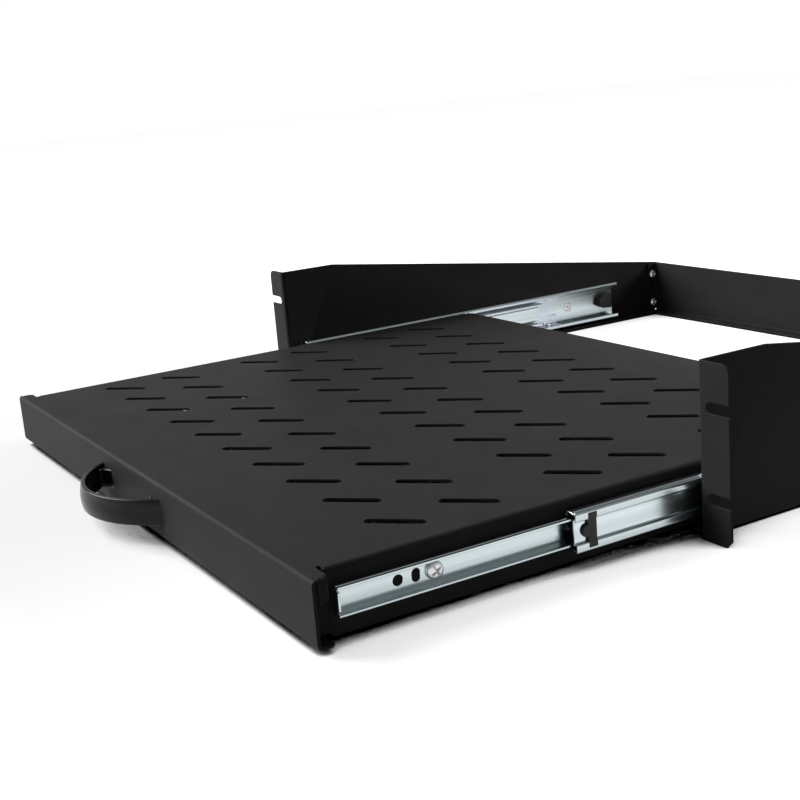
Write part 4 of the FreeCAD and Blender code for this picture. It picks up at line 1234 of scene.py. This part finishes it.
def operation(tree, kind, first, second):
    """Result of a sum on two sockets."""
    node = tree.nodes.new("ShaderNodeMath")
    node.operation = kind
    tree.links.new(first, node.inputs[0])
    tree.links.new(second, node.inputs[1])
    return node.outputs[0]


def straight_looks(tree):
    """One for what the camera sees, also in a mirror or through glass, nought for other light."""
    path = tree.nodes.new("ShaderNodeLightPath")
    looks = path.outputs["Is Camera Ray"]
    for other in ("Is Glossy Ray", "Is Transmission Ray"):
        looks = operation(tree, "MAXIMUM", looks, path.outputs[other])
    return looks


def floor_material():
    """Paper that looks white, throws little light back, glows where the lamp fades out and wears a
    painted contact shadow.
    """
    material = bpy.data.materials.new("floor")
    material.use_nodes = True
    tree = material.node_tree
    tree.nodes.clear()
    looks = straight_looks(tree)

    # painted contact shadow: ambient occlusion darkens the floor's colour and glow where the
    # object covers the floor closely
    contact_shade = tree.nodes.new("ShaderNodeAmbientOcclusion")
    contact_shade.inputs["Distance"].default_value = CONTACT_SHADE_REACH
    clear = ramp_between(tree, contact_shade.outputs["AO"], *CONTACT_SHADE_RANGE, 0, 1)
    paper = tree.nodes.new("ShaderNodeBsdfDiffuse")
    shade = ramp_between(tree, looks, 0, 1, *FLOOR_SHADES)
    tree.links.new(operation(tree, "MULTIPLY", shade, clear), paper.inputs["Color"])

    place = tree.nodes.new("ShaderNodeTexCoord")
    away = tree.nodes.new("ShaderNodeVectorMath")
    away.operation = "DISTANCE"
    away.inputs[1].default_value = GLOW_CENTRE
    tree.links.new(place.outputs["Object"], away.inputs[0])
    strength = ramp_between(tree, away.outputs["Value"], *GLOW_REACH, *FLOOR_GLOW)
    # the painted contact shadow dims the glow too
    strength = operation(tree, "MULTIPLY", strength, clear)
    glow = tree.nodes.new("ShaderNodeEmission")
    tree.links.new(operation(tree, "MULTIPLY", strength, looks), glow.inputs["Strength"])

    both = tree.nodes.new("ShaderNodeAddShader")
    tree.links.new(paper.outputs[0], both.inputs[0])
    tree.links.new(glow.outputs[0], both.inputs[1])
    output = tree.nodes.new("ShaderNodeOutputMaterial")
    tree.links.new(both.outputs[0], output.inputs["Surface"])
    return material


def make_floor():
    data = bpy.data.meshes.new("floor")
    level = cad_box[0][2]
    corners = rectangle((-FLOOR_SIZE, -FLOOR_SIZE), (FLOOR_SIZE, FLOOR_SIZE))
    data.from_pydata([(x, y, level) for x, y in corners], [], [(0, 1, 2, 3)])
    data.materials.append(floor_material())
    floor = bpy.data.objects.new("floor", data)
    bpy.context.scene.collection.objects.link(floor)


def make_world():
    """White near the horizon, as behind the object, and dimmer overhead."""
    world = bpy.data.worlds.new("studio")
    bpy.context.scene.world = world
    world.use_nodes = True
    tree = world.node_tree
    background = tree.nodes["Background"]
    background.inputs["Color"].default_value = (1, 1, 1, 1)
    place = tree.nodes.new("ShaderNodeTexCoord")
    split = tree.nodes.new("ShaderNodeSeparateXYZ")
    tree.links.new(place.outputs["Generated"], split.inputs["Vector"])
    start, end = [math.sin(math.radians(angle)) for angle in WORLD_FADE]
    fade = ramp_between(tree, split.outputs["Z"], start, end, 1.0, WORLD_FILL)
    share = ramp_between(tree, straight_looks(tree), 0, 1, WORLD_SHARE, 1.0)
    tree.links.new(operation(tree, "MULTIPLY", fade, share), background.inputs["Strength"])


def add_light(name, place, target, size, power):
    lamp = bpy.data.lights.new(name, "AREA")
    lamp.shape = "RECTANGLE"
    lamp.size, lamp.size_y = size
    lamp.energy = power
    item = bpy.data.objects.new(name, lamp)
    item.location = place
    aim = Vector(target) - Vector(place)
    item.rotation_euler = aim.to_track_quat("-Z", "Y").to_euler()
    bpy.context.scene.collection.objects.link(item)


def make_camera():
    camera = bpy.data.cameras.new("camera")
    camera.sensor_width = SENSOR
    camera.lens = SENSOR * FOCAL_PIXELS / PHOTO_PIXELS
    camera.clip_start = CLIP_START
    ahead = Vector(CAMERA_AHEAD).normalized()
    right = Vector(CAMERA_RIGHT)
    right = (right - right.dot(ahead) * ahead).normalized()
    up = right.cross(ahead)
    item = bpy.data.objects.new("camera", camera)
    axes = Matrix((right, up, -ahead)).transposed().to_4x4()
    item.matrix_world = Matrix.Translation(CAMERA_PLACE) @ axes
    bpy.context.scene.collection.objects.link(item)
    bpy.context.scene.camera = item


finishes = make_finishes()
make_rear_crossbar()
make_tray()
for side, sign in SIDES.items():
    make_side_bracket(side, sign)
    make_outer_rail(side, sign)
    make_middle_rail(side, sign)
    make_inner_rail(side, sign)
    make_outer_cage(side, sign)
    make_balls("outer", side, sign, *OUTER_BALLS, OUTER_CAGE_ENDS[side])
    make_balls("inner", side, sign, *INNER_BALLS, INNER_CAGE_ENDS[side])
    make_bumper(side, sign)
    make_stop(side, sign)
    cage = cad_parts[f"inner_ball_cage_{side}"]
    cage.data.materials.clear()
    cage.data.materials.append(finishes["cage_steel"])
make_screws()
make_handle()

make_floor()
make_world()
make_camera()
for name, settings in LAMPS.items():
    add_light(name, *settings)
bpy.context.scene.view_settings.view_transform = "Standard"
